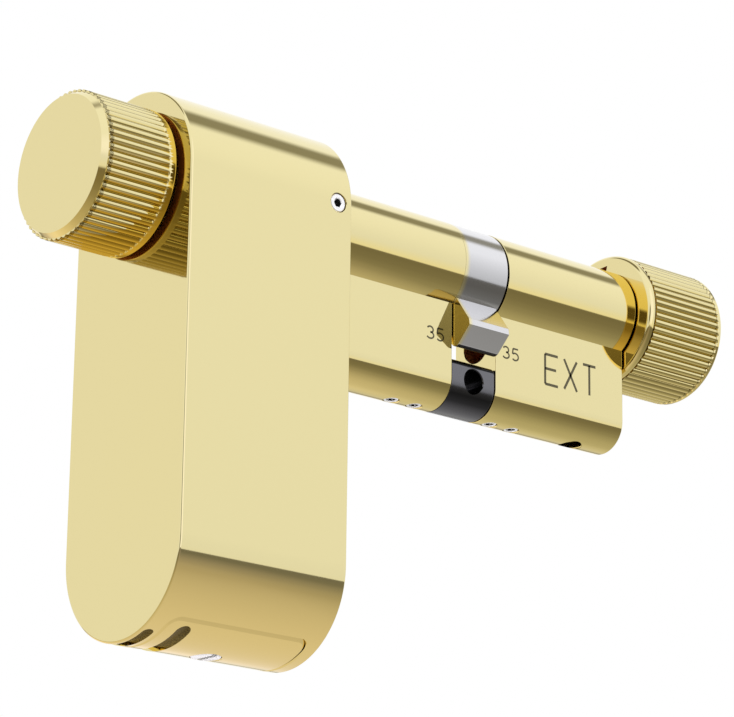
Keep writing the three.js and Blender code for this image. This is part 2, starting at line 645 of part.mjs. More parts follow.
const lock = new THREE.Group();
lock.add(
  indoorHalf(),
  outdoorHalf(),
  bridgeBar(),
  ...bridgeScrews(),
  cam(),
  indoorRotor(),
  outdoorRotor(),
  clutchPin(),
  retainingClip('indoor_clip', INDOOR_CLIP_Y),
  retainingClip('outdoor_clip', OUTDOOR_CLIP_Y),
  ...indoorKnob(),
  indoorShaft(),
  ...outdoorKnob(),
  moduleShell(),
  backPlate(),
  ...backScrews(),
  sideScrew(),
  frontBush(),
  batteryDoor(),
  doorScrew(),
  doorContact(),
  ...cells(),
  cellHolder(),
  mainGear(),
  idlerGear(),
  idlerAxle(),
  motorPinion(),
  motor(),
  motorCradle(),
  gearCarrier(),
  circuitBoard(),
  ...boardParts(),
);

export default lock;
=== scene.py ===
"""Looks for the double-knob electronic lock cylinder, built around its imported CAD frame.

The file is laid out as a Blender add-on and run as a script. Shapes are worked out in
millimetres, in the frame's own axes: +Y along the rotor axis towards the outdoor knob, +Z up,
and +X the flank that carries the size marks. They are scaled to metres as meshes are made.
"""

import math

import bmesh
import bpy
import numpy as np
from bpy.props import FloatProperty, FloatVectorProperty, IntProperty, PointerProperty
from mathutils import Matrix, Vector


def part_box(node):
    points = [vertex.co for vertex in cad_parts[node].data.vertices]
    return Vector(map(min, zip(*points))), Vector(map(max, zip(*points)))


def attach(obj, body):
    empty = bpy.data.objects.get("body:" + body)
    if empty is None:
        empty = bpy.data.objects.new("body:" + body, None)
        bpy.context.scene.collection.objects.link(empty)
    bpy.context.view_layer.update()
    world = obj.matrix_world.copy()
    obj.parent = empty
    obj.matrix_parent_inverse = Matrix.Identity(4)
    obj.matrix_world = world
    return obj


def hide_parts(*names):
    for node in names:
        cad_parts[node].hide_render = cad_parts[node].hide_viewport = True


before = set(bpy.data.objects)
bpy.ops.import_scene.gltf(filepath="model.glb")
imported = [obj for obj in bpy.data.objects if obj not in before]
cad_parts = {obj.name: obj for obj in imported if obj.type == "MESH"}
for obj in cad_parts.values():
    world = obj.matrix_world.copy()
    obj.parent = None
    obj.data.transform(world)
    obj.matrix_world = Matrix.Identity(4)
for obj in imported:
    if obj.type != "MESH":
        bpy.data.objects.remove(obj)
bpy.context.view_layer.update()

bl_info = {
    "name": "Electronic Lock Cylinder",
    "version": (1, 0, 0),
    "blender": (4, 5, 0),
    "location": "3D View > Sidebar > Lock",
    "description": "Builds the dressed pieces of a double-knob electronic lock cylinder",
    "category": "Add Mesh",
}

MILLIMETRE = 0.001
HALF_PI = math.pi / 2
AXES = {"x": [1, 2, 0], "y": [0, 2, 1], "z": [0, 1, 2]}  # where u, v and along go


def box(node):
    """Lowest and highest corner of a CAD node, in millimetres."""
    return np.array([list(corner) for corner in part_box(node)]) / MILLIMETRE


def mid(node):
    """The middle of a CAD node's box, in millimetres."""
    return box(node).mean(0)


# ---------------------------------------------------------------- sizes, in millimetres

INDOOR_HALF, OUTDOOR_HALF = box("indoor_half"), box("outdoor_half")
HEAD_R = INDOOR_HALF[1, 0]
PROFILE_BOTTOM = INDOOR_HALF[0, 2]
BRIDGE = box("bridge_bar")
STEM_HALF = BRIDGE[1, 0]
BOTTOM_Z = PROFILE_BOTTOM + STEM_HALF
POCKET_HALF = OUTDOOR_HALF[0, 1]
ROTOR_BORE = 6.3
TONGUE_HALF, TONGUE_LOW, TONGUE_HIGH = 2.7, -21.7, -17.8
BRIDGE_TOP, BRIDGE_SHOULDER = -16.2, 1.1
FIXING_R, FIXING_Z = 2.1, -19.5
GRUB_R, GRUB_HOLE_R, GRUB_SOCKET, GRUB_SOCKET_DEPTH = 1.3, 1.4, 0.88, 1.0
PIN_BORE_R, PIN_BORE_Z, PIN_BORE_DEPTH = 2.95, -11.25, 7.0
CLIP_SEAT_R, CLIP_SEAT_Y = 7.5, 33.8
DRAIN_Y, DRAIN_R, DRAIN_DEPTH = 27.0, 2.0, 6.0

CAM_BORE, CAM_ROUND = 5.25, 0.16
SLIT_HALF, SLIT_END = 6.4, -0.4  # of the slit that takes the rotor's keys
LUG = [(0.9, -6.6), (5.35, -15.2), (9.15, -11.4), (9.0, -10.35), (5.05, -4.98)]  # (x, z)
LUG_ROUND = (0.1, 1.18, 0.1, 0.1, 0.1)
NOTCH = [(-1.6, 8.0), (0.6, 7.6), (1.23, 9.8), (-1.6, 9.6)]  # (x, z), in the outdoor knob's back
NOTCH_DEPTH = 1.3
INDOOR_CREST, OUTDOOR_CREST, SLEEVE_BORE, BACK_BORE = 11.94, 11.73, 10.2, 6.25
INDOOR_LIP = 1.2

MODULE = box("module_shell")
MODULE_R = MODULE[1, 0]
MODULE_TOP, MODULE_LOW = MODULE[1, 2] - MODULE_R, MODULE[0, 2] + MODULE_R
MODULE_FRONT, MODULE_BACK = MODULE[:, 1]
WALL, FRONT_WALL = 1.3, 1.8
FRONT_BORE, BUSH_BORE = 7.3, 4.15
PLATE, SIDE_SCREW = box("module_back_plate"), box("module_side_screw")
SIDE_SCREW_R = (SIDE_SCREW[1, 1] - SIDE_SCREW[0, 1]) / 2
SIDE_SOCKET, SIDE_SOCKET_DEPTH = 0.75, 1.6
SIDE_SPOT = mid("module_side_screw")[1:]  # (y, z)
BACK_SPOTS = [mid(f"back_screw_{i}")[[0, 2]] for i in range(1, 5)]  # (x, z)
BOSS_R, BOSS_LENGTH, TAP_R, TAP_DEPTH = 2.4, 7.0, 1.2, 5.0
HEAD_SEAT_R, HEAD_SEAT_DEPTH = 2.0, 0.9

DOOR = box("battery_door")
DOOR_GAP, DOOR_CORNER, DOOR_EDGE = 0.13, 2.0, 0.32
DOOR_FACE, DOOR_MID = DOOR[0, 2], (DOOR[0, 1] + DOOR[1, 1]) / 2
SHELL_SLOT_Y, SHELL_SLOT_DEPTH = -65.85, 0.9
DOOR_SLOT_Y, DOOR_SLOT_DEPTH = -60.4, 0.95
COIN_R, COIN_SEAT_R, COIN_SLOT_HALF = 2.4, 2.5, 0.45  # the door's slotted screw
CELLS = {"cell_front": "front_cell", "cell_rear": "rear_cell"}  # node: body


# ---------------------------------------------------------------- settings

def length(name, description, default):
    return FloatProperty(name=name, description=description, default=default * MILLIMETRE,
                         min=0.0, precision=5, unit="LENGTH", subtype="DISTANCE")


def colour(name, description, default):
    return FloatVectorProperty(name=name, description=description, default=default, size=3,
                               min=0.0, max=1.0, subtype="COLOR")


class LockSizes(bpy.types.PropertyGroup):
    """Sizes of the detail that the dressed pieces add to the frame."""

    flutes: IntProperty(name="Flutes", description="Ribs round each knob", default=58, min=12)
    flute_depth: length("Flute depth", "Depth of the grooves between the ribs", 0.4)
    edge_round: length("Edge rounding", "Radius on the housing's and cylinder's edges", 0.22)
    fine_round: length("Fine edge rounding", "Radius on the halves' edges beside the cam", 0.1)
    hole_lip: length("Hole lip", "Width of the chamfer at the mouth of a hole", 0.14)
    stroke: length("Mark stroke", "Width of the strokes of the size marks", 0.27)


class LockFinishes(bpy.types.PropertyGroup):
    """Colours of the finishes."""

    gold: colour("Gold", "Polished gold plating", (0.80, 0.712, 0.385))
    # painted shade: the deep tone goes on faces that look down
    gold_deep: colour("Deep gold", "Plating on faces that look down", (0.86, 0.70, 0.26))
    # painted reflection: the tone polished gold takes when seen in another mirror
    gold_painted_reflection: colour("Inner gold", "Plating seen in another mirror", (0.87, 0.66, 0.17))
    # painted shade: the darker tone fluted gold takes when seen in another mirror, which darkens
    # the grooves between the ribs
    gold_fluted_painted_shade: colour("Fluted gold", "Plating between the ribs", (0.54, 0.41, 0.10))
    nickel: colour("Nickel", "Satin nickel of the cam", (0.74, 0.74, 0.765))
    dark_steel: colour("Blackened steel", "Bridge, clips and back plate", (0.052, 0.052, 0.057))
    bright_screw: colour("Bright screw", "Zinc plating of the small screws", (0.86, 0.86, 0.87))
    # painted shade in the pin bore, the outdoor knob's notch and on the indoor knob sleeve's end
    # that faces the module
    shade: colour("Shaded gold", "Unpolished plating in recesses", (0.42, 0.15, 0.045))
    # painted shade in the finger slots and on the cam's end beside the indoor half
    dull: colour("Dull gold", "Gold in the slots and beside the cam", (0.12, 0.09, 0.03))
    steel: colour("Steel", "Plain steel of pins and screws", (0.58, 0.58, 0.59))
    brass: colour("Brass", "Machined brass of rotors and gears", (0.72, 0.54, 0.22))
    # also painted shade, put in screw sockets and the door screw's slot, on the bridge's end and
    # under the cam's lug
    plastic: colour("Black plastic", "Holder and gear carrier", (0.012, 0.012, 0.014))
    board: colour("Board", "Solder mask of the circuit board", (0.01, 0.11, 0.04))
    wrap: colour("Cell wrap", "Printed wrap of the cells", (0.075, 0.085, 0.105))
    acetal: colour("Acetal", "White bearing plastic", (0.78, 0.76, 0.70))
    mark: colour("Size marks", "Engraved size marks", (0.125, 0.112, 0.07))


def size(name):
    """One of the sizes that the user sets, in millimetres."""
    return getattr(bpy.context.scene.lock_sizes, name) / MILLIMETRE


# ---------------------------------------------------------------- surfaces

def add_object(name, data):
    """An object round its mesh, lamp or camera, linked to the scene."""
    made = bpy.data.objects.new(name, data)
    bpy.context.scene.collection.objects.link(made)
    return made


def place(axis, u, v, along):
    """Points from two coordinates across an axis and one along it, as arrays of one shape."""
    given = np.stack(np.broadcast_arrays(u, v, along), -1)
    points = np.empty_like(given)
    points[..., AXES[axis]] = given
    return points


def grid_faces(rows, columns, wrap_rows, cap_first, cap_last):
    """Quads over a grid whose columns wrap round, with a flat cap on an open end."""
    index = np.arange(rows * columns).reshape(rows, columns)
    low, high = (index, np.roll(index, -1, 0)) if wrap_rows else (index[:-1], index[1:])
    quads = np.stack([low, np.roll(low, -1, 1), np.roll(high, -1, 1), high], -1)
    faces = quads.reshape(-1, 4).tolist()
    if not wrap_rows and cap_first:
        faces.append(index[0][::-1].tolist())
    if not wrap_rows and cap_last:
        faces.append(index[-1].tolist())
    return faces


def turn_outwards(bm):
    """Turns a closed shell's faces outwards: their signed volume has to be positive."""
    bmesh.ops.recalc_face_normals(bm, faces=bm.faces)
    if bm.calc_volume(signed=True) < 0:
        bmesh.ops.reverse_faces(bm, faces=bm.faces)


def raw_object(points, wrap_rows=False, caps=(True, True), extra=()):
    """An object from a grid of points, rows by columns, with its seams and poles closed and its
    faces turned outwards."""
    mesh = bpy.data.meshes.new("raw")
    faces = grid_faces(*points.shape[:2], wrap_rows, *caps) + list(extra)
    mesh.from_pydata((points.reshape(-1, 3) * MILLIMETRE).tolist(), [], faces)
    bm = bmesh.new()
    bm.from_mesh(mesh)
    bmesh.ops.remove_doubles(bm, verts=bm.verts, dist=2e-7)
    turn_outwards(bm)
    bm.to_mesh(mesh)
    bm.free()
    return add_object("raw", mesh)


def ends(low, high, bevels):
    """(position, margin) pairs along a path: a quarter round at each end, where the position is
    the end plus bevel (1 - cos t) and the margin is bevel (1 - sin t)."""
    turn = np.linspace(0, HALF_PI, 5)
    step, margin = 1 - np.cos(turn), 1 - np.sin(turn)
    return (np.concatenate([low + bevels[0] * step, (high - bevels[1] * step)[::-1]]),
            np.concatenate([bevels[0] * margin, bevels[1] * margin[::-1]]))


def prism(outline, axis, low, high, bevel=0.0):
    """An outline carried straight along an axis, drawn in by a quarter round at both ends, of one
    size or a size each. outline(margin) gives its points as an array, drawn in by that margin."""
    if bevel:
        positions, margins = ends(low, high, np.broadcast_to(bevel, 2))
    else:
        positions, margins = np.array([low, high]), np.zeros(2)
    rings = np.stack([outline(margin) for margin in margins])
    return raw_object(place(axis, rings[..., 0], rings[..., 1], positions[:, None]))


def arc(radius, start, stop, count, u=0.0, v=0.0):
    """Points on a circle about (u, v), from one angle to another."""
    turn = np.linspace(start, stop, count)
    return np.stack([u + radius * np.cos(turn), v + radius * np.sin(turn)], 1)


def euro(grow=0.0):
    """The euro profile in (x, z): a round head, a straight stem and a round foot."""
    def outline(margin=0.0):
        head, stem = HEAD_R + grow - margin, STEM_HALF + grow - margin
        turn = math.asin(stem / head)
        return np.concatenate([
            arc(stem, math.pi, 2 * math.pi, 73, 0, BOTTOM_Z),
            arc(head, turn - HALF_PI, 3 * HALF_PI - turn, 241)])
    return outline


def upright(radius):
    """The module's section in (x, z) at a radius: two half circles joined by straight sides."""
    return lambda margin=0.0: np.concatenate([
        arc(radius - margin, math.pi, 2 * math.pi, 91, 0, MODULE_LOW),
        arc(radius - margin, 0, math.pi, 91, 0, MODULE_TOP)])


def corner_arcs(u, v, half_u, half_v, r, count):
    """The round corners of a rectangle about (u, v), anticlockwise, as four arcs."""
    return [arc(r, k * math.pi, (k + 0.5) * math.pi, count, u + a * (half_u - r),
                v + b * (half_v - r))
            for a, b, k in ((1, -1, -0.5), (1, 1, 0.0), (-1, 1, 0.5), (-1, -1, 1.0))]


def rounded(u, v, half_u, half_v, radius, count=10):
    """A rectangle with round corners about (u, v)."""
    return lambda margin=0.0: np.concatenate(corner_arcs(
        u, v, half_u - margin, half_v - margin, max(radius - margin, 0.01), count))


def polygon(corners, radius=0.0, count=5):
    """A convex outline through corners listed anticlockwise, its corners rounded by one radius or
    by a radius each. A margin moves each side inwards: a corner moves along its bisector by
    margin / cos(half its turn)."""
    corners = np.asarray(corners, float)
    ahead = np.roll(corners, -1, 0) - corners
    ahead /= np.linalg.norm(ahead, axis=1)[:, None]
    behind = np.roll(ahead, 1, 0)
    turn = np.arctan2(behind[:, 0] * ahead[:, 1] - behind[:, 1] * ahead[:, 0],
                      (behind * ahead).sum(1))
    inward = np.stack([-behind[:, 1] - ahead[:, 1], behind[:, 0] + ahead[:, 0]], 1)
    inward /= np.linalg.norm(inward, axis=1)[:, None]

    def outline(margin=0.0):
        r = np.maximum(np.broadcast_to(radius, len(corners)), margin + 0.02)
        centres = corners + inward * (r / np.cos(turn / 2))[:, None]
        start = np.arctan2(-behind[:, 0], behind[:, 1])
        angle = start[:, None] + np.linspace(0, 1, count) * turn[:, None]
        spread = np.stack([np.cos(angle), np.sin(angle)], -1) * (r - margin)[:, None, None]
        return (centres[:, None] + spread).reshape(-1, 2)
    return outline


def fillet(points, radius, closed=False):
    """A line through points with every corner rounded: each corner is cut back along both sides
    by radius / tan(half its inner angle) and bridged by an arc."""
    points = np.asarray(points, float)
    count, out = len(points), []
    for i, here in enumerate(points):
        before, after = points[i - 1] - here, points[(i + 1) % count] - here
        room = 0.45 * min(np.linalg.norm(before), np.linalg.norm(after))
        before, after = before / np.linalg.norm(before), after / np.linalg.norm(after)
        half = math.acos(np.clip(before @ after, -1, 1)) / 2
        if half > HALF_PI - 0.02 or (not closed and i in (0, count - 1)):
            out.append(here[None])
            continue
        r = min(radius / math.tan(half), room) * math.tan(half)
        middle = (before + after) / np.linalg.norm(before + after)
        side = np.sign(before[1] * after[0] - before[0] * after[1])
        turn = np.linspace(half - HALF_PI, HALF_PI - half, 5) * side
        away = -middle
        out.append(here + middle * r / math.sin(half) + r * np.stack([
            away[0] * np.cos(turn) - away[1] * np.sin(turn),
            away[0] * np.sin(turn) + away[1] * np.cos(turn)], 1))
    return np.concatenate(out)


def hexagon(theta):
    """How far a hexagon's side falls inside the circle through its corners, as a share."""
    folded = np.mod(theta, math.pi / 3) - math.pi / 6
    return 1 - math.cos(math.pi / 6) / np.cos(folded)


def flute(count):
    """A groove pattern: 0 on the round crest of each rib and 1 in the sharp groove between two,
    following the square of the distance from the crest."""
    return lambda theta: (2 * np.mod(count * theta / (2 * math.pi) + 0.5, 1.0) - 1) ** 2


def revolve(rows, axis, u=0.0, v=0.0, segments=120, pattern=None, wrap=False):
    """A profile turned about an axis. Each row is (radius, position) or (radius, position, w),
    and a row's radius at angle theta is radius - w pattern(theta)."""
    rows = np.array([(*row, 0.0)[:3] for row in rows])
    theta = np.arange(segments) * 2 * math.pi / segments
    radius = np.repeat(rows[:, :1], segments, 1)
    if pattern is not None:
        radius = radius - rows[:, 2:3] * pattern(theta)
    return raw_object(place(axis, u + radius * np.cos(theta), v + radius * np.sin(theta),
                            rows[:, 1:2]), wrap_rows=wrap)


def hole(axis, radius, inner, mouth, u=0.0, v=0.0, lip=0.0, segments=72):
    """A cutter for a round hole from its inner end to its mouth, which a chamfer widens."""
    out = math.copysign(1.0, mouth - inner)
    past = mouth + out * 1.5
    rows = [(0, inner), (radius, inner), (radius, mouth - out * lip),
            (radius + lip, mouth), (radius + lip, past), (0, past)]
    return revolve(rows, axis, u, v, segments)


def rod(axis, radius, low, high, bevel=0.12, u=0.0, v=0.0):
    """A plain turned rod with rounded ends."""
    rows = fillet([(0, low), (radius, low), (radius, high), (0, high)], bevel)
    return revolve(rows, axis, u, v, 96)


def block(low, high):
    """A cutter or filler between two corners."""
    corners = [(low[0], low[1]), (high[0], low[1]), (high[0], high[1]), (low[0], high[1])]
    return prism(lambda margin: np.array(corners), "z", low[2], high[2])


def combine(target, others, operation="DIFFERENCE"):
    """Cuts or joins closed shapes and keeps the result as the target's own mesh."""
    for other in others:
        modifier = target.modifiers.new("combine", "BOOLEAN")
        modifier.operation, modifier.solver, modifier.object = operation, "EXACT", other
        bpy.context.view_layer.update()
        graph = bpy.context.evaluated_depsgraph_get()
        mesh = bpy.data.meshes.new_from_object(target.evaluated_get(graph))
        target.modifiers.clear()
        old, target.data = target.data, mesh
        bpy.data.meshes.remove(old)
        bpy.data.objects.remove(other)
    return target


def clean(piece):
    """Merges points that a cut left on top of each other."""
    bm = bmesh.new()
    bm.from_mesh(piece.data)
    bmesh.ops.remove_doubles(bm, verts=bm.verts, dist=4e-7)
    bmesh.ops.dissolve_degenerate(bm, dist=4e-7, edges=bm.edges)
    bm.to_mesh(piece.data)
    bm.free()


def dress(piece, name, body, finish):
    """Finishes a piece: its name, smooth shading broken at sharp edges, its material, and the
    body that it rides on."""
    piece.name = piece.data.name = name
    mesh = piece.data
    mesh.materials.clear()
    mesh.materials.append(MATERIALS[finish])
    mesh.polygons.foreach_set("material_index", np.zeros(len(mesh.polygons), np.int32))
    mesh.shade_smooth()
    mesh.set_sharp_from_angle(angle=math.radians(24.0))
    weighted = piece.modifiers.new("even_normals", "WEIGHTED_NORMAL")
    weighted.mode, weighted.weight, weighted.keep_sharp = "FACE_AREA", 50, True
    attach(piece, body)


def stand_in(piece, node, body="cylinder", slot="polished_gold", finish="gold", cutters=(),
             **painted):
    """Cuts a piece, dresses it in the place of a CAD node, and paints groups of its faces with
    other finishes. Each group is a function of the faces' centres, in millimetres, and
    normals."""
    if cutters:
        clean(combine(piece, cutters))
    dress(piece, f"{node}_body", body, finish)
    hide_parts(node)
    mesh = piece.data
    count = len(mesh.polygons)
    centres, normals = np.empty(count * 3), np.empty(count * 3)
    mesh.polygons.foreach_get("center", centres)
    mesh.polygons.foreach_get("normal", normals)
    indices = np.zeros(count, np.int32)
    for other, chosen in painted.items():
        mesh.materials.append(MATERIALS[other])
        mask = chosen(centres.reshape(-1, 3) / MILLIMETRE, normals.reshape(-1, 3))
        indices[mask] = len(mesh.materials) - 1
    mesh.polygons.foreach_set("material_index", indices)


# ---------------------------------------------------------------- node trees

def give(tree, socket, value):
    """Links another node's socket to an input, or sets the input to a plain value."""
    if isinstance(value, bpy.types.NodeSocket):
        tree.links.new(value, socket)
    else:
        socket.default_value = (*value, 1.0) if socket.type == "RGBA" else value


def chain(tree, kind, *ordered, **named):
    """A shader node. Ordered values go to its inputs from the first one on. Named ones go to the
    input of that name, with _ for a space, or else to the node's own setting."""
    node = tree.nodes.new("ShaderNode" + kind)
    for key, value in named.items():
        label = key.replace("_", " ")
        if label in node.inputs:
            give(tree, node.inputs[label], value)
        else:
            setattr(node, key, value)
    for socket, value in zip(node.inputs, ordered):
        give(tree, socket, value)
    return node


def maths(tree, operation, *values, clamp=False):
    """A Math node whose operands are numbers or sockets."""
    return chain(tree, "Math", *values, operation=operation, use_clamp=clamp).outputs[0]


def ramp_between(tree, value, low, high):
    """0 below low, 1 above high, and an even S curve between."""
    return chain(tree, "MapRange", value, low, high,
                 interpolation_type="SMOOTHSTEP").outputs["Result"]


def mix_colours(tree, factor, first, second, blend="MIX"):
    """A colour mix whose colours are sockets or rgb values."""
    node = chain(tree, "Mix", data_type="RGBA", blend_type=blend)
    for key, value in (("Factor_Float", factor), ("A_Color", first), ("B_Color", second)):
        give(tree, next(s for s in node.inputs if s.identifier == key), value)
    return next(s for s in node.outputs if s.identifier == "Result_Color")


def tone_ramp(tree, value, offset, span, stops):
    """A colour that follows a value through stops (value, tone)."""
    share = maths(tree, "MULTIPLY_ADD", value, 1 / span, offset / span, clamp=True)
    ramp = chain(tree, "ValToRGB", share)
    elements = ramp.color_ramp.elements
    while len(elements) < len(stops):
        elements.new(0.5)
    for element, (position, tone) in zip(elements, stops):
        element.position = (position + offset) / span
        element.color = (*tone, 1.0)
    return ramp.outputs["Color"]


def noise(tree, coordinates, scale, detail=3.0):
    return chain(tree, "TexNoise", coordinates, Scale=scale, Detail=detail).outputs["Fac"]


def point(tree, source="Object"):
    """Where a point of the surface is, whole and split into x, y and z."""
    where = chain(tree, "TexCoord").outputs[source]
    return where, *chain(tree, "SeparateXYZ", where).outputs


def facing_up(tree):
    """The z of the face's normal."""
    normal = chain(tree, "NewGeometry").outputs["Normal"]
    return chain(tree, "SeparateXYZ", normal).outputs["Z"]


def ray(tree, kind):
    """1 on rays of a kind, such as Camera or Glossy, and 0 on others."""
    return chain(tree, "LightPath").outputs[f"Is {kind} Ray"]


def tree_of(holder):
    """The node tree of a material or world of the stage, with nothing in it yet."""
    holder.use_nodes = True
    holder.node_tree.nodes.clear()
    return holder.node_tree


def blend_out(tree, kind, share, first, second):
    """Ends a tree in a mix of two shaders."""
    mix = chain(tree, "MixShader", share, first.outputs[0], second.outputs[0])
    chain(tree, "Output" + kind, mix.outputs["Shader"])


# ---------------------------------------------------------------- materials

def new_group(name, inputs, outputs):
    """A shader node group with named sockets: (name, kind, default) in and (name, kind) out."""
    group = bpy.data.node_groups.new(name, "ShaderNodeTree")
    for label, kind, default in inputs:
        socket = group.interface.new_socket(name=label, in_out="INPUT",
                                            socket_type="NodeSocket" + kind)
        socket.default_value = default
    for label, kind in outputs:
        group.interface.new_socket(name=label, in_out="OUTPUT", socket_type="NodeSocket" + kind)
    return (group, group.nodes.new("NodeGroupInput").outputs,
            group.nodes.new("NodeGroupOutput").inputs)


def polish_group():
    """Hand polish: faint wipe marks in the roughness and a very fine waviness in height."""
    group, given, out = new_group(
        "Polish",
        [("Roughness", "Float", 0.06), ("Wipe", "Float", 0.03), ("Wipe Scale", "Float", 90.0)],
        [("Roughness", "Float"), ("Height", "Float")])
    where = chain(group, "TexCoord").outputs["Object"]
    squeezed = chain(group, "Mapping", where, Scale=(1.0, 0.25, 1.0)).outputs["Vector"]
    wipe = maths(group, "SUBTRACT", noise(group, squeezed, given["Wipe Scale"], 4.0), 0.5)
    wipe = maths(group, "MULTIPLY", wipe, given["Wipe"])
    give(group, out["Roughness"], maths(group, "ADD", given["Roughness"], wipe))
    give(group, out["Height"], noise(group, where, 260.0))
    return group


def plating_shade_group():
    """Gold plating: the plain tone where faces look up or sideways and the deep tone, painted
    shade, where they look down, with a slow drift between the two that follows the plating's
    thickness."""
    group, given, out = new_group(
        "Plating",
        [("Plain", "Color", (0.8, 0.7, 0.4, 1)), ("Deep", "Color", (0.86, 0.7, 0.2, 1)),
         ("Drift", "Float", 0.06)],
        [("Color", "Color")])
    where = chain(group, "TexCoord").outputs["Object"]
    # painted shade: faces that look down take the deep tone
    down = ramp_between(group, maths(group, "MULTIPLY", facing_up(group), -1.0), 0.12, 0.38)
    slow = maths(group, "SUBTRACT", noise(group, where, 35.0, 1.0), 0.5)
    slow = maths(group, "MULTIPLY", slow, given["Drift"])
    share = maths(group, "ADD", down, slow, clamp=True)
    give(group, out["Color"], mix_colours(group, share, given["Plain"], given["Deep"]))
    return group


def grain_group():
    """Machined grain: fine rings or lines across one direction, as a mask and a height."""
    group, given, out = new_group(
        "Machined Grain",
        [("Along", "Vector", (1.0, 1.0, 1.0)), ("Scale", "Float", 900.0)],
        [("Mask", "Float"), ("Height", "Float")])
    where = chain(group, "TexCoord").outputs["Object"]
    stretched = chain(group, "VectorMath", where, given["Along"], operation="MULTIPLY")
    lines = noise(group, stretched.outputs["Vector"], given["Scale"], 2.0)
    for label in ("Mask", "Height"):
        give(group, out[label], lines)
    return group


def shader(name, metallic, roughness):
    """A material, its node tree and the inputs of its Principled shader."""
    material = bpy.data.materials.new(name)
    material.use_nodes = True
    inputs = material.node_tree.nodes["Principled BSDF"].inputs
    inputs["Metallic"].default_value = metallic
    inputs["Roughness"].default_value = roughness
    return material, material.node_tree, inputs


def pattern(tree, inputs, tone, roughness, height, strength, distance=0.00003):
    """Links a pattern to the shader: its tone, its roughness and a bump."""
    bump = chain(tree, "Bump", Strength=strength, Distance=distance, Height=height)
    for label, value in (("Base Color", tone), ("Roughness", roughness),
                         ("Normal", bump.outputs["Normal"])):
        give(tree, inputs[label], value)


def plated(name, plain, deep, inner, polish, plating):
    """Mirror-polished gold plating, with painted shade where its faces look down. Seen in another
    mirror it takes the inner tone, a painted reflection that makes gold seen in gold richer.
    """
    roughness = 0.055
    material, tree, inputs = shader(name, 1.0, roughness)
    tone = chain(tree, "Group", node_tree=plating, Plain=plain, Deep=deep).outputs["Color"]
    wipe = chain(tree, "Group", node_tree=polish, Roughness=roughness, Wipe=0.035).outputs
    # painted reflection: on glossy rays the plating's tone gives way to the inner tone
    pattern(tree, inputs, mix_colours(tree, ray(tree, "Glossy"), tone, inner),
            wipe["Roughness"], wipe["Height"], 0.03, 0.00002)
    return material


def grained(name, tone, metallic, roughness, grain, along, scale, spread, height):
    """Metal or moulding whose colour and gloss follow a grain."""
    material, tree, inputs = shader(name, metallic, roughness)
    lines = chain(tree, "Group", node_tree=grain, Along=along, Scale=scale).outputs
    darker = [c * (1 - spread) for c in tone]
    lighter = [min(c * (1 + spread), 1.0) for c in tone]
    gloss = maths(tree, "MULTIPLY_ADD", lines["Mask"], roughness * 0.6, roughness * 0.7)
    pattern(tree, inputs, mix_colours(tree, lines["Mask"], darker, lighter), gloss,
            lines["Height"], height)
    return material


def light_and_shade_by_facing(tree, tone, shares):
    """Painted light and shade: a tone scaled by a share that follows how far up the face looks."""
    stops = [(z, [c * share for c in tone]) for z, share in shares]
    return tone_ramp(tree, facing_up(tree), 1.0, 2.0, stops)


# painted shade: the nickel is darker where its faces look down
NICKEL_TONES = [  # (z of the face's normal, share of the nickel's tone)
    (-1.0, 0.9), (-0.68, 0.9), (-0.64, 0.6), (-0.45, 0.6), (0.2, 1.0)]
# painted light and shade: the steel is lighter on its sides and foot and dark on its top
BRIDGE_TONES = [  # (z of the face's normal, share of the steel's tone)
    (-1.0, 3.0), (-0.90, 2.4), (-0.72, 0.9), (-0.5, 0.7), (-0.25, 2.6), (-0.1, 3.2), (0.08, 3.2),
    (0.16, 0.15)]


def cam_nickel(nickel, gold):
    """Satin nickel with painted shade where its faces look down, and a lighter painted reflection
    tone where it is seen in another mirror. Its indoor edge takes the gold tone, fading to nickel
    over the first millimetre along the lock."""
    material, tree, inputs = shader("cam nickel", 1.0, 0.12)
    where, _, y, _ = point(tree)
    edge = box("cam")[0, 1] * MILLIMETRE
    # painted reflection: nickel seen in another mirror is lighter
    tone = mix_colours(tree, ray(tree, "Glossy"), light_and_shade_by_facing(tree, nickel, NICKEL_TONES),
                       (0.84, 0.84, 0.86))
    tone = mix_colours(tree, ramp_between(tree, y, edge, edge + 0.0011), gold, tone)
    speck = noise(tree, where, 700.0)
    pattern(tree, inputs, tone, maths(tree, "MULTIPLY_ADD", speck, 0.03, 0.11), speck, 0.03)
    return material


def bridge_steel(tone):
    """Blackened steel with painted light and shade by the way its faces look: lighter on its flat
    sides and foot, and darkest on its top.
    """
    material, tree, inputs = shader("bridge steel", 1.0, 0.2)
    speck = noise(tree, chain(tree, "TexCoord").outputs["Object"], 900.0)
    pattern(tree, inputs, light_and_shade_by_facing(tree, tone, BRIDGE_TONES),
            maths(tree, "MULTIPLY_ADD", speck, 0.1, 0.15), speck, 0.05)
    return material


def wrapped_cell(wrap, steel):
    """A cell: printed wrap with a brass-coloured band on its side, bare steel on its ends."""
    material, tree, inputs = shader("cell wrap", 0.0, 0.35)
    where, _, _, z = point(tree)
    low, high = box("cell_front")[:, 2]

    def over(level):
        return ramp_between(tree, z, level * MILLIMETRE, (level + 0.1) * MILLIMETRE)
    body = maths(tree, "SUBTRACT", over(low + 0.5), over(high - 1.7))
    speck = noise(tree, where, 500.0)
    printed = mix_colours(tree, over(high - 8.1), wrap, (0.55, 0.35, 0.09))
    bare = mix_colours(tree, speck, [c * 0.9 for c in steel], steel)
    for label, value in (("Base Color", mix_colours(tree, body, bare, printed)),
                         ("Metallic", maths(tree, "SUBTRACT", 1.0, body)),
                         ("Roughness", maths(tree, "MULTIPLY_ADD", speck, 0.15, 0.25))):
        give(tree, inputs[label], value)
    return material


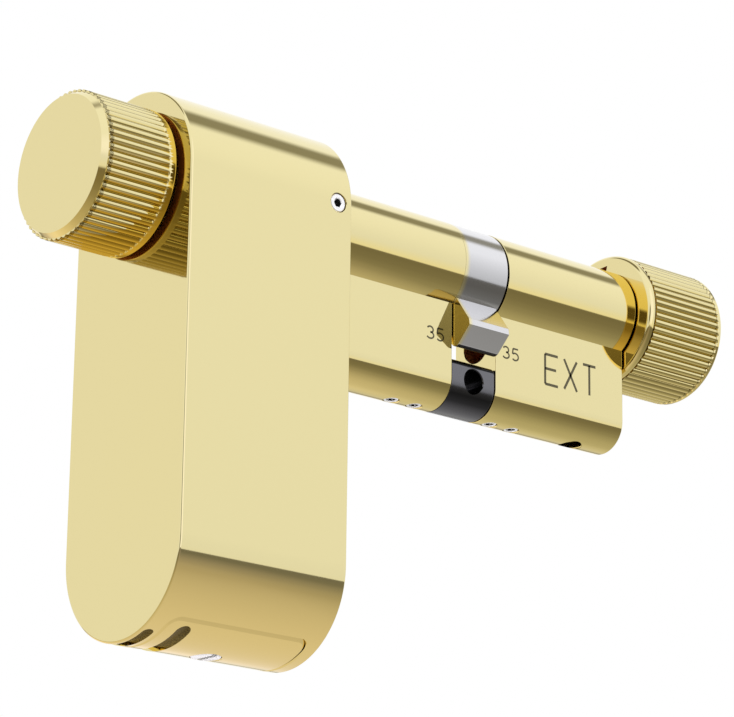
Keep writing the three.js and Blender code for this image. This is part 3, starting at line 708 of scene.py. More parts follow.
EVEN = (1.0, 1.0, 1.0)
GRAINED = {  # colour: material's name, metallic, roughness, grain's direction, scale, spread, bump
    "bright_screw": ("bright screw", 0.4, 0.3, EVEN, 1500.0, 0.03, 0.04),
    "shade": ("shaded gold", 0.6, 0.45, EVEN, 1200.0, 0.15, 0.05),
    "dull": ("dull gold", 0.3, 0.5, EVEN, 1200.0, 0.1, 0.05),
    "dark_steel": ("blackened steel", 1.0, 0.2, (0.1, 1.0, 1.0), 1600.0, 0.12, 0.05),
    "steel": ("plain steel", 1.0, 0.26, (1.0, 1.0, 0.2), 1400.0, 0.06, 0.06),
    "brass": ("machined brass", 1.0, 0.28, (0.15, 1.0, 0.15), 2200.0, 0.08, 0.12),
    "plastic": ("black plastic", 0.0, 0.5, EVEN, 2600.0, 0.25, 0.2),
    "board": ("circuit board", 0.0, 0.35, EVEN, 420.0, 0.25, 0.15),
    "acetal": ("white acetal", 0.0, 0.45, EVEN, 900.0, 0.04, 0.08),
    "mark": ("size mark", 1.0, 0.12, EVEN, 3000.0, 0.2, 0.1),
}
MATERIALS = {}


def build_materials():
    """Fills MATERIALS from the colours that the user sets."""
    finishes = bpy.context.scene.lock_finishes
    tones = {key: tuple(getattr(finishes, key)) for key in LockFinishes.__annotations__}
    polish, plating, grain = polish_group(), plating_shade_group(), grain_group()
    # on glossy rays the inner tone is a painted reflection for polished gold and painted shade for
    # fluted gold
    for finish, name, inner in (("gold", "polished gold", "gold_painted_reflection"),
                                ("fluted", "fluted gold", "gold_fluted_painted_shade")):
        MATERIALS[finish] = plated(name, tones["gold"], tones["gold_deep"], tones[inner], polish,
                                   plating)
    MATERIALS["cam"] = cam_nickel(tones["nickel"], tones["gold"])
    MATERIALS["bridge"] = bridge_steel(tones["dark_steel"])
    MATERIALS["wrap"] = wrapped_cell(tones["wrap"], tones["steel"])
    for key, (name, metallic, roughness, *rest) in GRAINED.items():
        MATERIALS[key] = grained(name, tones[key], metallic, roughness, grain, *rest)


def paint(finish, *nodes):
    """Gives CAD nodes that stay their procedural material."""
    for node in nodes:
        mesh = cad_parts[node].data
        mesh.materials.clear()
        mesh.materials.append(MATERIALS[finish])


# ---------------------------------------------------------------- cylinder

def set_screw(node, slot, axis, u, v, radius, tip, face, socket, depth):
    """A set screw turned from its centre line: flat tip, threadless shank, chamfered face, and a
    hexagon socket, painted shade inside, with a lead-in cone and a drilled bottom."""
    out = math.copysign(1.0, face - tip)
    along = "xyz".index(axis)
    rows = [(0, tip, 0), (radius - 0.2, tip, 0), (radius, tip + out * 0.2, 0),
            (radius, face - out * 0.16, 0), (radius - 0.16, face, 0),
            (socket * 1.12, face, 0), (socket, face - out * 0.12, socket),
            (socket, face - out * depth, socket), (0, face - out * (depth + 0.3), 0)]

    def in_socket(centres, normals):
        deep = (face - centres[:, along]) * out
        off = np.linalg.norm(np.delete(centres, along, 1) - (u, v), axis=1)
        return (deep > 0.1) & (deep < 1.2) & (off < 0.8)
    # painted shade: black inside the socket
    stand_in(revolve(rows, axis, u, v, 72, hexagon), node, "cylinder", slot, "bright_screw",
             plastic=in_socket)


def half_cutters(low, high, lip):
    """The rotor bore, the tongue's channel and the grub screws' holes of one half."""
    out, inner, reach = (1, low, BRIDGE[1, 1]) if low > 0 else (-1, high, BRIDGE[0, 1])
    near, far = sorted((inner - out, reach + out * 0.1))
    cutters = [
        revolve([(0, low - 1), (ROTOR_BORE, low - 1), (ROTOR_BORE, high + 1), (0, high + 1)],
                "y", segments=160),
        block((-TONGUE_HALF - 0.1, near, TONGUE_LOW - 0.1),
              (TONGUE_HALF + 0.1, far, TONGUE_HIGH + 0.1)),
    ]
    for i in range(1, 5):
        y = mid(f"bridge_screw_{i}")[1]
        if low < y < high:
            cutters.append(hole("z", GRUB_HOLE_R, TONGUE_LOW, PROFILE_BOTTOM + 0.05, 0, y, lip))
    return cutters


class LOCK_OT_cylinder_halves(bpy.types.Operator):
    """Make the indoor and outdoor halves of the cylinder"""

    bl_idname = "lock.cylinder_halves"
    bl_label = "Cylinder halves"

    def execute(self, context):
        edge, fine, lip = size("edge_round"), size("fine_round"), size("hole_lip")
        low, high = INDOOR_HALF[:, 1]
        stand_in(prism(euro(), "y", low, high, (edge, fine)), "indoor_half",
                 cutters=half_cutters(low, high, lip))
        low, high = OUTDOOR_HALF[:, 1]
        cutters = half_cutters(low, high, lip) + [
            hole("z", DRAIN_R, PROFILE_BOTTOM + DRAIN_DEPTH, PROFILE_BOTTOM + 0.1, 0, DRAIN_Y,
                 lip),
            hole("y", CLIP_SEAT_R, CLIP_SEAT_Y, high, lip=lip, segments=160),
            hole("y", PIN_BORE_R, low + PIN_BORE_DEPTH, low, 0, PIN_BORE_Z, 0.05)]
        stand_in(prism(euro(), "y", low, high, (fine, edge)), "outdoor_half", cutters=cutters,
                 shade=lambda c, n: (np.hypot(c[:, 0], c[:, 2] - PIN_BORE_Z) < PIN_BORE_R + 0.01)
                 & (c[:, 1] < low + PIN_BORE_DEPTH + 0.1))
        return {"FINISHED"}


def bridge_outline(margin):
    """The bridge in (x, z): a round foot and a flat top with round shoulders."""
    side, top, r = STEM_HALF - margin, BRIDGE_TOP - margin, BRIDGE_SHOULDER
    return np.concatenate([
        arc(side, math.pi, 2 * math.pi, 73, 0, BOTTOM_Z),
        arc(r, 0, HALF_PI, 9, side - r, top - r),
        arc(r, HALF_PI, math.pi, 9, r - side, top - r)])


class LOCK_OT_bridge(bpy.types.Operator):
    """Make the bridge bar and its grub screws"""

    bl_idname = "lock.bridge"
    bl_label = "Bridge and grub screws"

    def execute(self, context):
        half, reach, lip = POCKET_HALF - 0.1, BRIDGE[1, 1], size("hole_lip")
        bar = prism(bridge_outline, "y", -half, half, (0.12, 0.45))
        tongue = block((-TONGUE_HALF, -reach, TONGUE_LOW), (TONGUE_HALF, reach, TONGUE_HIGH))
        combine(bar, [tongue], "UNION")
        holes = [hole("x", FIXING_R, inner, mouth, 0, FIXING_Z, lip)
                 for inner, mouth in ((-STEM_HALF - 1, STEM_HALF), (0, -STEM_HALF))]
        stand_in(bar, "bridge_bar", "cylinder", "dark_steel", "bridge", holes,
                 # painted shade: a black band on the bar's outdoor end bevel
                 plastic=lambda c, n: (c[:, 1] > half - 0.5) & (n[:, 1] > 0.2))
        for i in range(1, 5):
            node = f"bridge_screw_{i}"
            face, tip = box(node)[:, 2]
            set_screw(node, "plain_steel", "z", 0, mid(node)[1], GRUB_R, tip, face, GRUB_SOCKET,
                      GRUB_SOCKET_DEPTH)
        return {"FINISHED"}


class LOCK_OT_cam(bpy.types.Operator):
    """Make the cam with its lug"""

    bl_idname = "lock.cam"
    bl_label = "Cam"

    def execute(self, context):
        low, high = box("cam")[:, 1]
        outer, near = HEAD_R - 0.05, INDOOR_HALF[1, 1] + 0.02
        ring = [(CAM_BORE, near), (outer, near),
                *fillet([(outer, near), (outer, high), (CAM_BORE, high)], CAM_ROUND)[1:]]
        cam = revolve(ring, "y", segments=240, wrap=True)
        lug = prism(polygon(LUG, LUG_ROUND, 12), "y", low + 0.1, high - 0.4, 0.1)
        combine(cam, [lug], "UNION")
        stand_in(cam, "cam", "cam", "bright_nickel", "cam",
                 [block((-SLIT_HALF, low - 1, -1.0), (SLIT_HALF, SLIT_END, 1.0))],
                 # painted shade: black under the lug
                 plastic=lambda c, n: (c[:, 2] < -9) & (n[:, 2] < -0.79),
                 # painted shade on the ring's end, in the narrow gap beside the indoor half
                 dull=lambda c, n: (n[:, 1] < -0.8) & (c[:, 2] > -8.0))
        return {"FINISHED"}


class LOCK_OT_rotors(bpy.types.Operator):
    """Finish the rotors, clips, clutch pin and indoor shaft"""

    bl_idname = "lock.rotors"
    bl_label = "Rotors and clutch"

    def execute(self, context):
        paint("brass", "indoor_rotor", "outdoor_rotor")
        paint("dark_steel", "indoor_clip", "outdoor_clip")
        paint("steel", "indoor_shaft")
        (_, low, _), (radius, high, _) = box("clutch_pin")
        stand_in(rod("y", radius, low, high), "clutch_pin", "clutch", "plain_steel", "steel")
        return {"FINISHED"}


# ---------------------------------------------------------------- knobs

def fluted(rows, wrap=False):
    """A part of a knob, turned about the rotor axis with its flutes."""
    count = bpy.context.scene.lock_sizes.flutes
    return revolve(rows, "y", segments=count * 14, pattern=flute(count), wrap=wrap)


def sleeve_rows(crest, depth, low, high, lip=0.0):
    """Rows of a fluted sleeve from its low end to its high end and back through its bore. The
    flutes fade out before a plain lip."""
    small, fade, end = 0.12, 0.3, high - lip
    rows = [(SLEEVE_BORE, low + small, 0), (SLEEVE_BORE + small, low, 0),
            (crest - depth - small, low, 0), (crest, low + 0.02, depth)]
    if lip:
        rows += [(crest, end - fade, depth), (crest, end - fade * 0.4, depth * 0.75),
                 (crest, end, 0), (crest, high - 0.3, 0), (crest - 0.03, high - 0.17, 0),
                 (crest - 0.12, high - 0.05, 0), (crest - 0.26, high, 0)]
    else:
        rows += [(crest, high - 0.02, depth), (crest - depth - small, high, 0)]
    return rows + [(SLEEVE_BORE + small, high, 0), (SLEEVE_BORE, high - small, 0)]


def chamfered_rim(crest, depth, face):
    """Rows from a face's flat edge out over a smooth cone, down into a fine turned groove, and
    up the round ends of the ribs: there the radius is floor + rise, with rise following a quarter
    circle from 0 to the depth."""
    floor, wide = crest - depth, face + 1.12
    rows = [(floor - 0.56, face, 0),
            (floor + 0.14, wide, 0), (floor + 0.14, wide + 0.03, 0),
            (floor - 0.3, wide + 0.05, 0), (floor - 0.3, wide + 0.3, 0)]
    for t in np.linspace(0, HALF_PI, 6):
        rise = depth * math.sin(t)
        rows.append((floor + rise, wide + (0.32 + 0.3 * (1 - math.cos(t))), rise))
    return rows


class LOCK_OT_indoor_knob(bpy.types.Operator):
    """Make the indoor knob: chamfered cap and fluted sleeve"""

    bl_idname = "lock.indoor_knob"
    bl_label = "Indoor knob"

    def execute(self, context):
        crest, depth = INDOOR_CREST, size("flute_depth")
        face, back = box("indoor_knob_cap")[:, 1]
        cap = [(0, face), *chamfered_rim(crest, depth, face), (crest, back - 0.02, depth),
               (crest - depth - 0.1, back, 0), (0, back)]
        stand_in(fluted(cap), "indoor_knob_cap", "indoor_knob", finish="fluted")
        high = box("indoor_knob_sleeve")[1, 1] + 0.4
        sleeve = sleeve_rows(crest, depth, back - 0.05, high, INDOOR_LIP)
        stand_in(fluted(sleeve, True), "indoor_knob_sleeve", "indoor_knob", finish="fluted",
                 shade=lambda c, n: (n[:, 1] > 0.8) & (c[:, 1] > high - 0.05))
        paint("brass", "indoor_knob_hub")
        return {"FINISHED"}


def make_knob_back(crest):
    """The outdoor knob's polished back disc: a bore, a round rim that follows a quarter of an
    ellipse, a fine groove before the sleeve, and a notch."""
    low, high = box("outdoor_knob_back")[:, 1]
    rim = [(crest - 0.02 - 0.78 * (1 - math.sin(t)), low + 0.95 * (1 - math.cos(t)))
           for t in np.linspace(0, HALF_PI, 14)]
    rows = [(BACK_BORE, high), (BACK_BORE, low + 0.1), (BACK_BORE + 0.1, low),
            (crest - 0.82, low), *rim,
            (crest - 0.04, high - 0.3), (crest - 0.42, high - 0.26), (crest - 0.42, high)]
    middle, half = (low + high) / 2, (high - low) / 2
    stand_in(revolve(rows, "y", segments=248, wrap=True), "outdoor_knob_back", "outdoor_knob",
             cutters=[prism(polygon(NOTCH), "y", low - 1, low + NOTCH_DEPTH)],
             shade=lambda c, n: (abs(np.hypot(c[:, 0], c[:, 2]) - 8.3) < 2.0)
             & (abs(c[:, 1] - middle) < half - 0.05),
             fluted=lambda c, n: (c[:, 1] > high - 0.29) & (np.hypot(c[:, 0], c[:, 2]) > 10.5))


class LOCK_OT_outdoor_knob(bpy.types.Operator):
    """Make the outdoor knob: back disc, fluted sleeve and cap"""

    bl_idname = "lock.outdoor_knob"
    bl_label = "Outdoor knob"

    def execute(self, context):
        crest, depth = OUTDOOR_CREST, size("flute_depth")
        make_knob_back(crest)
        sleeve = sleeve_rows(crest, depth, *box("outdoor_knob_sleeve")[:, 1])
        stand_in(fluted(sleeve, True), "outdoor_knob_sleeve", "outdoor_knob", finish="fluted")
        low, high = box("outdoor_knob_cap")[:, 1]
        cap = [(0, low), (crest - depth - 0.1, low - 0.05), (crest, low - 0.03, depth),
               (crest, high - 0.9, depth), (crest, high - 0.7, depth * 0.6),
               (crest, high - 0.6, 0), (crest, high - 0.2, 0), (crest - 0.06, high - 0.07, 0),
               (crest - 0.2, high, 0), (0, high)]
        stand_in(fluted(cap), "outdoor_knob_cap", "outdoor_knob", finish="fluted")
        paint("brass", "outdoor_knob_hub")
        paint("steel", "outdoor_knob_screw")
        return {"FINISHED"}


# ---------------------------------------------------------------- module

SIDE_POINTS = 23  # divisions of each straight side of the door
INWARD = np.linspace(0.6, DOOR[1, 0] - 0.25, 15)  # margins of the rings inside its outline


def door_outline(grow):
    """The door's outline in (x, y), grown by a margin, with its sides divided so that it can be
    dropped onto the round bottom."""
    half_x, half_y = DOOR[1, 0] + grow, (DOOR[1, 1] - DOOR[0, 1]) / 2 + grow
    corner = DOOR_CORNER - DOOR_GAP + grow
    share = np.linspace(0, 1, SIDE_POINTS + 2)[1:-1, None]

    def outline(margin):
        parts = corner_arcs(0, DOOR_MID, half_x - margin, half_y - margin,
                            max(corner - margin, 0.05), 9)
        joined = []
        for part, after in zip(parts, parts[1:] + parts[:1]):
            joined += [part, part[-1] + share * (after[0] - part[-1])]
        return np.concatenate(joined)
    return outline


def in_recess(y, half_x, half_y):
    """Picks out the faces in a recess of the round bottom, below its skin: their distance from
    the bottom's middle line is less than its radius."""
    def inside(centres, normals):
        deep = MODULE_R - np.hypot(centres[:, 0], centres[:, 2] - MODULE_LOW)
        return ((deep > 0.3) & (deep < 1.25) & (np.abs(centres[:, 0]) < half_x)
                & (np.abs(centres[:, 1] - y) < half_y) & (centres[:, 2] < MODULE_LOW))
    return inside


def dropped(outline, rings):
    """Rings of an outline drawn in by margins and dropped onto the round bottom: a point goes to
    z = centre - sqrt((radius - depth)^2 - x^2). The innermost rings are narrow, and are closed
    by quads from side to side."""
    points = []
    for margin, depth in rings:
        flat = outline(margin)
        z = MODULE_LOW - np.sqrt((MODULE_R - depth) ** 2 - flat[:, 0] ** 2)
        points.append(np.column_stack([flat, z]))
    points = np.roll(np.stack(points), SIDE_POINTS // 2 + 1, axis=1)
    count = points.shape[1]
    across = np.arange(1, count // 2 - 1)
    zipped = np.stack([across, across + 1, count - across - 1, count - across], -1)
    first = zipped.tolist() + [[0, 1, count - 1], [count // 2, count // 2 + 1, count // 2 - 1]]
    last = [[index + (len(rings) - 1) * count for index in face[::-1]] for face in first]
    return raw_object(points, caps=(False, False), extra=first + last)


def finger_slot(outline, depth, upward, along):
    """A cutter for a recess of an even depth under the round bottom's skin. upward is its range
    in z, and along the range in y of the core that stays."""
    return combine(prism(outline, "z", *upward), [prism(upright(MODULE_R - depth), "y", *along)])


def make_shell():
    """The module's tub, open at the back and underneath, with a tapped boss for each back
    screw."""
    edge, lip = size("edge_round"), size("hole_lip")
    wide = lip * 1.4
    opening = [(margin, 4.0) for margin in INWARD[::-1]] + [
        (0, 4.0), (0, wide), (-wide, 0.0), (-wide, -2.0)] + [
        (margin, -2.0) for margin in INWARD]
    shell = prism(upright(MODULE_R), "y", MODULE_FRONT, MODULE_BACK, (edge * 1.8, edge))
    combine(shell, [
        prism(upright(MODULE_R - WALL), "y", MODULE_FRONT + FRONT_WALL, MODULE_BACK + 1),
        dropped(door_outline(DOOR_GAP), opening),
        hole("y", FRONT_BORE, MODULE_FRONT + 4, MODULE_FRONT, lip=lip, segments=120),
        hole("x", SIDE_SCREW_R + 0.1, 8.0, MODULE_R, *SIDE_SPOT, 0.08),
        finger_slot(rounded(0, SHELL_SLOT_Y, 6.1, 0.95, 0.9), SHELL_SLOT_DEPTH,
                    (MODULE[0, 2] - 1, MODULE_LOW - 8), (MODULE_FRONT - 1, MODULE_BACK))])
    top = PLATE[0, 1] - 0.1
    for spot in BACK_SPOTS:
        boss = rod("y", BOSS_R, MODULE_BACK - BOSS_LENGTH, top, 0.1, *spot)
        combine(boss, [hole("y", TAP_R, MODULE_BACK - TAP_DEPTH, top, *spot)])
        combine(shell, [boss], "UNION")
    clean(shell)
    # painted shade in the finger slot's recess
    stand_in(shell, "module_shell", dull=in_recess(SHELL_SLOT_Y, 6.2, 0.85))


def make_back_plate():
    """The dark plate in the module's back, cut out round the cylinder, with the screws' seats
    and a way in for the side screw."""
    low, high = PLATE[:, 1]
    cutters = [prism(euro(0.1), "y", low - 1, high + 1),
               hole("x", SIDE_SCREW_R + 0.15, HEAD_R - 1, MODULE_R + 1, *SIDE_SPOT)]
    for spot in BACK_SPOTS:
        cutters += [hole("y", TAP_R, low - 1, high, *spot),
                    hole("y", HEAD_SEAT_R, high - HEAD_SEAT_DEPTH, high, *spot, 0.1)]
    stand_in(prism(upright(PLATE[1, 0]), "y", low, high, 0.12), "module_back_plate",
             slot="dark_steel", finish="dark_steel", cutters=cutters)


def make_back_screws():
    """Low round heads with a hexagon socket, one in each seat of the plate."""
    for i, spot in enumerate(BACK_SPOTS, 1):
        tip, face = box(f"back_screw_{i}")[:, 1]
        rows = [(0, tip, 0), (0.8, tip, 0), (1.1, tip + 0.3, 0), (1.1, face - 0.75, 0),
                (1.8, face - 0.75, 0), (1.9, face - 0.65, 0), (1.9, face - 0.35, 0),
                (1.75, face - 0.12, 0), (1.45, face, 0), (0.85, face, 0),
                (0.72, face - 0.08, 0.72), (0.72, face - 0.5, 0.72), (0, face - 0.6, 0)]
        stand_in(revolve(rows, "y", *spot, 72, hexagon), f"back_screw_{i}",
                 slot="plain_steel", finish="steel")


def make_front_bush():
    """The plain bearing of the indoor shaft: a ring with rounded edges."""
    (_, low, _), (outer, high, _) = box("front_bush")
    rows = [(BUSH_BORE, low), (outer, low), (outer, high), (BUSH_BORE, high)]
    stand_in(revolve(fillet(rows, 0.2, True), "y", wrap=True), "front_bush",
             slot="white_acetal", finish="acetal")


class LOCK_OT_module(bpy.types.Operator):
    """Make the module's shell, back plate, screws and front bush"""

    bl_idname = "lock.module"
    bl_label = "Module housing"

    def execute(self, context):
        make_shell()
        make_back_plate()
        make_back_screws()
        set_screw("module_side_screw", "bright_nickel", "x", *SIDE_SPOT, SIDE_SCREW_R,
                  *SIDE_SCREW[:, 0], SIDE_SOCKET, SIDE_SOCKET_DEPTH)
        make_front_bush()
        return {"FINISHED"}


def make_door():
    """The battery door: a curved plate with chamfered edges, a finger slot and the seat and
    hole of its screw."""
    rings = [(margin, 0.0) for margin in INWARD[::-1]]
    rings += [(DOOR_EDGE * (1 - s), DOOR_EDGE * s) for s in np.linspace(0, 1, 5)]
    rings += [(margin, WALL) for margin in (0.0, *INWARD)]
    cutters = [
        finger_slot(rounded(0, DOOR_SLOT_Y, 7.9, 1.25, 1.24, 14), DOOR_SLOT_DEPTH,
                    (DOOR_FACE - 1, MODULE_LOW), (DOOR[0, 1] - 1, DOOR[1, 1] + 1)),
        hole("z", COIN_SEAT_R, DOOR_FACE + 0.95, DOOR_FACE + 0.06, 0, DOOR_MID, 0.1),
        hole("z", 1.0, DOOR_FACE + 6, DOOR_FACE + 0.9, 0, DOOR_MID)]
    stand_in(dropped(door_outline(0.0), rings), "battery_door", "battery_door",
             # painted shade in the finger slot's recess
             cutters=cutters, dull=in_recess(DOOR_SLOT_Y, 7.9, 0.95))


def make_door_screw():
    """The door's slotted screw, painted shade inside its slot."""
    low, high, half = DOOR_FACE + 0.02, box("door_screw")[1, 2], COIN_SLOT_HALF
    rows = [(0, low), (2.1, low), (2.28, low + 0.05), (COIN_R, low + 0.18),
            (COIN_R, low + 0.7), (0.85, low + 0.7), (0.85, high - 0.2), (0.65, high), (0, high)]
    stand_in(revolve(rows, "z", 0, DOOR_MID, 96), "door_screw", "door_screw",
             "bright_nickel", "bright_screw",
             [block((-4, DOOR_MID - half, low - 1), (4, DOOR_MID + half, low + 0.45))],
             # painted shade: black inside the slot
             plastic=lambda c, n: (abs(c[:, 1] - DOOR_MID) < half + 0.01)
             & (c[:, 2] > low + 0.06) & (c[:, 2] < low + 0.5))


class LOCK_OT_battery_door(bpy.types.Operator):
    """Make the battery door with its finger slot, screw and contact"""

    bl_idname = "lock.battery_door"
    bl_label = "Battery door"

    def execute(self, context):
        make_door()
        make_door_screw()
        paint("brass", "door_contact")
        return {"FINISHED"}


class LOCK_OT_cells(bpy.types.Operator):
    """Make the two cells and their holder"""

    bl_idname = "lock.cells"
    bl_label = "Cells and holder"

    def execute(self, context):
        holder, cutters = box("cell_holder"), []
        for node, body in CELLS.items():
            (_, _, low), (radius, _, high) = box(node)
            y = mid(node)[1]
            rows = fillet([(0, low), (4.6, low), (4.9, low + 0.25), (5.3, low + 0.25),
                           (5.6, low), (radius, low + 0.2), (radius, high - 1.2),
                           (5.5, high - 1.0), (2.6, high - 1.0), (1.9, high - 0.85),
                           (1.85, high - 0.1), (1.6, high), (0, high)], 0.12)
            stand_in(revolve(rows, "z", 0, y), node, body, "cell_wrap", "wrap")
            cutters.append(hole("z", radius + 0.1, high + 0.5, holder[0, 2], 0, y, 0.25, 120))
        cutters.append(hole("z", 1.0, -60.0, holder[0, 2], 0, DOOR_MID, 0.2))
        outline = rounded(0, DOOR_MID, holder[1, 0], (holder[1, 1] - holder[0, 1]) / 2, 2.0, 12)
        stand_in(prism(outline, "z", *holder[:, 2], 0.2), "cell_holder", "cylinder",
                 "black_plastic", "plastic", cutters)
        return {"FINISHED"}


class LOCK_OT_drive(bpy.types.Operator):
    """Finish the gear train, motor and electronics inside the module"""

    bl_idname = "lock.drive"
    bl_label = "Drive and electronics"

    def execute(self, context):
        paint("brass", "main_gear", "motor_pinion")
        paint("acetal", "idler_gear", "board_connector")
        paint("steel", "idler_axle", "drive_motor")
        paint("plastic", "motor_cradle", "gear_carrier", "radio_chip")
        paint("board", "circuit_board")
        return {"FINISHED"}


# ---------------------------------------------------------------- size marks

def ribbon(path, width):
    """A flat stroke: the path carried sideways by half the width on each side along its normal,
    where a point's normal is its direction of travel turned by a right angle."""
    along = np.gradient(path, axis=0)
    along /= np.linalg.norm(along, axis=1)[:, None]
    side = np.stack([-along[:, 1], along[:, 0]], 1) * width / 2
    return np.concatenate([path + side, (path - side)[::-1]])


def bowl(u, v, radius_u, radius_v, start, stop):
    """A part of an ellipse, in degrees, for the round strokes of a figure."""
    turn = np.radians(np.linspace(start, stop, 25))
    return np.stack([u + radius_u * np.cos(turn), v + radius_v * np.sin(turn)], 1)


GLYPHS = {  # strokes in a square of side 1
    "E": [[(1, 1), (0, 1)], [(0, 1), (0, 0)], [(0, 0), (1, 0)], [(0, 0.52), (0.86, 0.52)]],
    "X": [[(0, 0), (1, 1)], [(0, 1), (1, 0)]],
    "T": [[(0, 1), (1, 1)], [(0.5, 1), (0.5, 0)]],
    "5": [[(0.92, 1), (0.14, 1)], [(0.14, 1), (0.06, 0.53)],
          bowl(0.46, 0.31, 0.5, 0.31, 135, -140)],
    "3": [bowl(0.46, 0.75, 0.42, 0.25, 155, -85), bowl(0.46, 0.27, 0.5, 0.27, 88, -150)],
}


MARKS = (  # name, text, its lower and upper corner in (y, z), share of the stroke, gap
    ("length_mark_indoor", "35", (-10.5, -13.95), (-6.8, -11.9), 1.1, 0.6),
    ("length_mark_outdoor", "35", (6.6, -13.85), (10.2, -11.85), 1.1, 0.65),
    ("outdoor_mark", "EXT", (16.4, -16.5), (28.4, -11.2), 1.75, 1.5))


def write_mark(name, text, low, high, stroke, gap):
    """Letters cut as thin plates in the flank's face, between two corners in (y, z)."""
    wide = ((high[0] - low[0]) - gap * (len(text) - 1)) / len(text)
    merged = bmesh.new()
    for i, letter in enumerate(text):
        corner = np.array([low[0] + i * (wide + gap), low[1]])
        for path in GLYPHS[letter]:
            edge = ribbon(corner + np.array(path) * (wide, high[1] - low[1]), stroke)
            part = prism(lambda margin: edge, "x", STEM_HALF - 0.02, STEM_HALF + 0.012)
            merged.from_mesh(part.data)
            bpy.data.objects.remove(part)
    turn_outwards(merged)
    mesh = bpy.data.meshes.new(name)
    merged.to_mesh(mesh)
    merged.free()
    dress(add_object(name, mesh), name, "cylinder", "mark")


class LOCK_OT_marks(bpy.types.Operator):
    """Write the two length marks and the mark of the outdoor side on the flank"""

    bl_idname = "lock.marks"
    bl_label = "Size marks"

    def execute(self, context):
        for name, text, low, high, share, gap in MARKS:
            write_mark(name, text, low, high, size("stroke") * share, gap)
        return {"FINISHED"}


# ---------------------------------------------------------------- stage, in metres

MIDDLE = Vector((0, -0.015, -0.020))  # of the lock
CAMERA_TURN = (49.49, -16.87, 0.73)  # degrees of azimuth, elevation and roll
CAMERA_BACK, CAMERA_LEFT, CAMERA_UP = 0.52229, 0.00312, 0.00245  # from the middle
LENS, SENSOR = 155.95, 36.0  # mm
LIGHTS = (  # direction, half widths in degrees where it starts and is full, tone
    ((0.957, 0.0, 0.29), 34.0, 24.0, (1.22, 1.2, 1.33)),  # the softbox at the side
    ((-0.25, -0.28, 0.927), 25.0, 17.0, (0.25, 0.22, 0.15)),  # the gap in the ceiling
    ((0.71, -0.69, 0.13), 16.0, 8.0, (0.12, 0.10, 0.06)))  # the camera's opening


def build_world():
    """A white studio: white all round and brighter overhead, a soft dark strip above that runs
    ahead along the lock, a horizon below which the light falls away, and the dark opening that
    the camera looks through."""
    world = bpy.context.scene.world = bpy.data.worlds.new("studio")
    tree = tree_of(world)
    where, x, y, z = point(tree, "Generated")
    left, back = (maths(tree, "MULTIPLY", part, -1.0) for part in (x, y))

    def ramp(value, low, high):
        return ramp_between(tree, value, low, high)
    sky = mix_colours(tree, ramp(z, -0.05, 0.75), (0.955, 0.955, 0.955), (1.08, 1.08, 1.08))
    behind = maths(tree, "MULTIPLY", ramp(left, 0.2, 0.6), ramp(back, 0.2, 0.5))
    sky = mix_colours(tree, behind, sky, (0.975, 0.955, 0.90))
    above = mix_colours(tree, ramp(y, -0.05, 0.15), ramp(z, -0.215, -0.125),
                        ramp(z, -0.36, -0.28))
    studio = mix_colours(tree, above, (0.33, 0.305, 0.24), sky)

    turn = maths(tree, "ARCTAN2", z, x)
    off = maths(tree, "ABSOLUTE", maths(tree, "SUBTRACT", turn, math.radians(87.5)))
    strip = maths(tree, "SUBTRACT", 1.0, ramp(off, math.radians(5.0), math.radians(18.0)))
    strip = maths(tree, "MULTIPLY", strip, ramp(y, 0.25, 0.5))
    studio = mix_colours(tree, strip, studio, (0.32, 0.30, 0.235))

    for middle, wide, narrow, tone in LIGHTS:
        towards = chain(tree, "VectorMath", where, middle, operation="DOT_PRODUCT")
        share = ramp(towards.outputs["Value"], *np.cos(np.radians((wide, narrow))).tolist())
        if middle[1] < 0:
            share = maths(tree, "MULTIPLY", share, ramp(back, 0.0, 0.12))
        studio = mix_colours(tree, share, studio, tone)
    blend_out(tree, "World", ray(tree, "Camera"), chain(tree, "Background", studio),
              chain(tree, "Background", (1, 1, 1)))


def plane(name, low, high, height):
    """A flat rectangle of the stage and the empty node tree of its material."""
    mesh = bpy.data.meshes.new(name)
    mesh.from_pydata([(low[0], low[1], height), (high[0], low[1], height),
                      (high[0], high[1], height), (low[0], high[1], height)], [],
                     [(0, 1, 2, 3)])
    material = bpy.data.materials.new(name)
    mesh.materials.append(material)
    return add_object(name, mesh), tree_of(material)


def build_floor():
    """A plain pale floor that keeps the lock's shadow, and is clear from underneath."""
    floor, tree = plane("floor", (-6.0, -6.0), (6.0, 6.0), -0.19)
    soft = noise(tree, point(tree)[0], 4.0)
    tone = mix_colours(tree, soft, (0.90, 0.90, 0.90), (0.93, 0.93, 0.93))
    blend_out(tree, "Material", chain(tree, "NewGeometry").outputs["Backfacing"],
              chain(tree, "BsdfPrincipled", tone, Roughness=0.8), chain(tree, "BsdfTransparent"))
    floor.visible_glossy = False


TABLE_TONES = [  # (x in metres, tone), from behind the lock to the table's near edge
    (-0.60, (0.35, 0.34, 0.31)), (-0.25, (0.42, 0.41, 0.38)), (-0.11, (0.72, 0.71, 0.68)),
    (-0.064, (0.68, 0.67, 0.64)), (-0.040, (0.63, 0.62, 0.59)), (-0.024, (0.56, 0.55, 0.52)),
    (-0.010, (0.52, 0.51, 0.48)), (0.006, (0.49, 0.48, 0.45)), (0.020, (0.44, 0.43, 0.40)),
    (0.038, (0.378, 0.368, 0.338)), (0.056, (0.313, 0.303, 0.273)),
    (0.070, (0.293, 0.283, 0.253)), (0.084, (0.264, 0.253, 0.223)),
    (0.13, (0.224, 0.212, 0.184)), (0.23, (0.204, 0.192, 0.165)), (0.40, (0.204, 0.192, 0.165))]
TABLE_LIFT = [  # (y in metres, half the gain), from the indoor side to the outdoor side
    (-0.16, (0.55, 0.50, 0.38)), (-0.11, (0.55, 0.50, 0.42)), (-0.065, (0.8, 0.755, 0.83)),
    (-0.02, (0.8, 0.755, 0.83)), (0.022, (0.65, 0.63, 0.665)), (0.065, (0.5, 0.5, 0.5))]


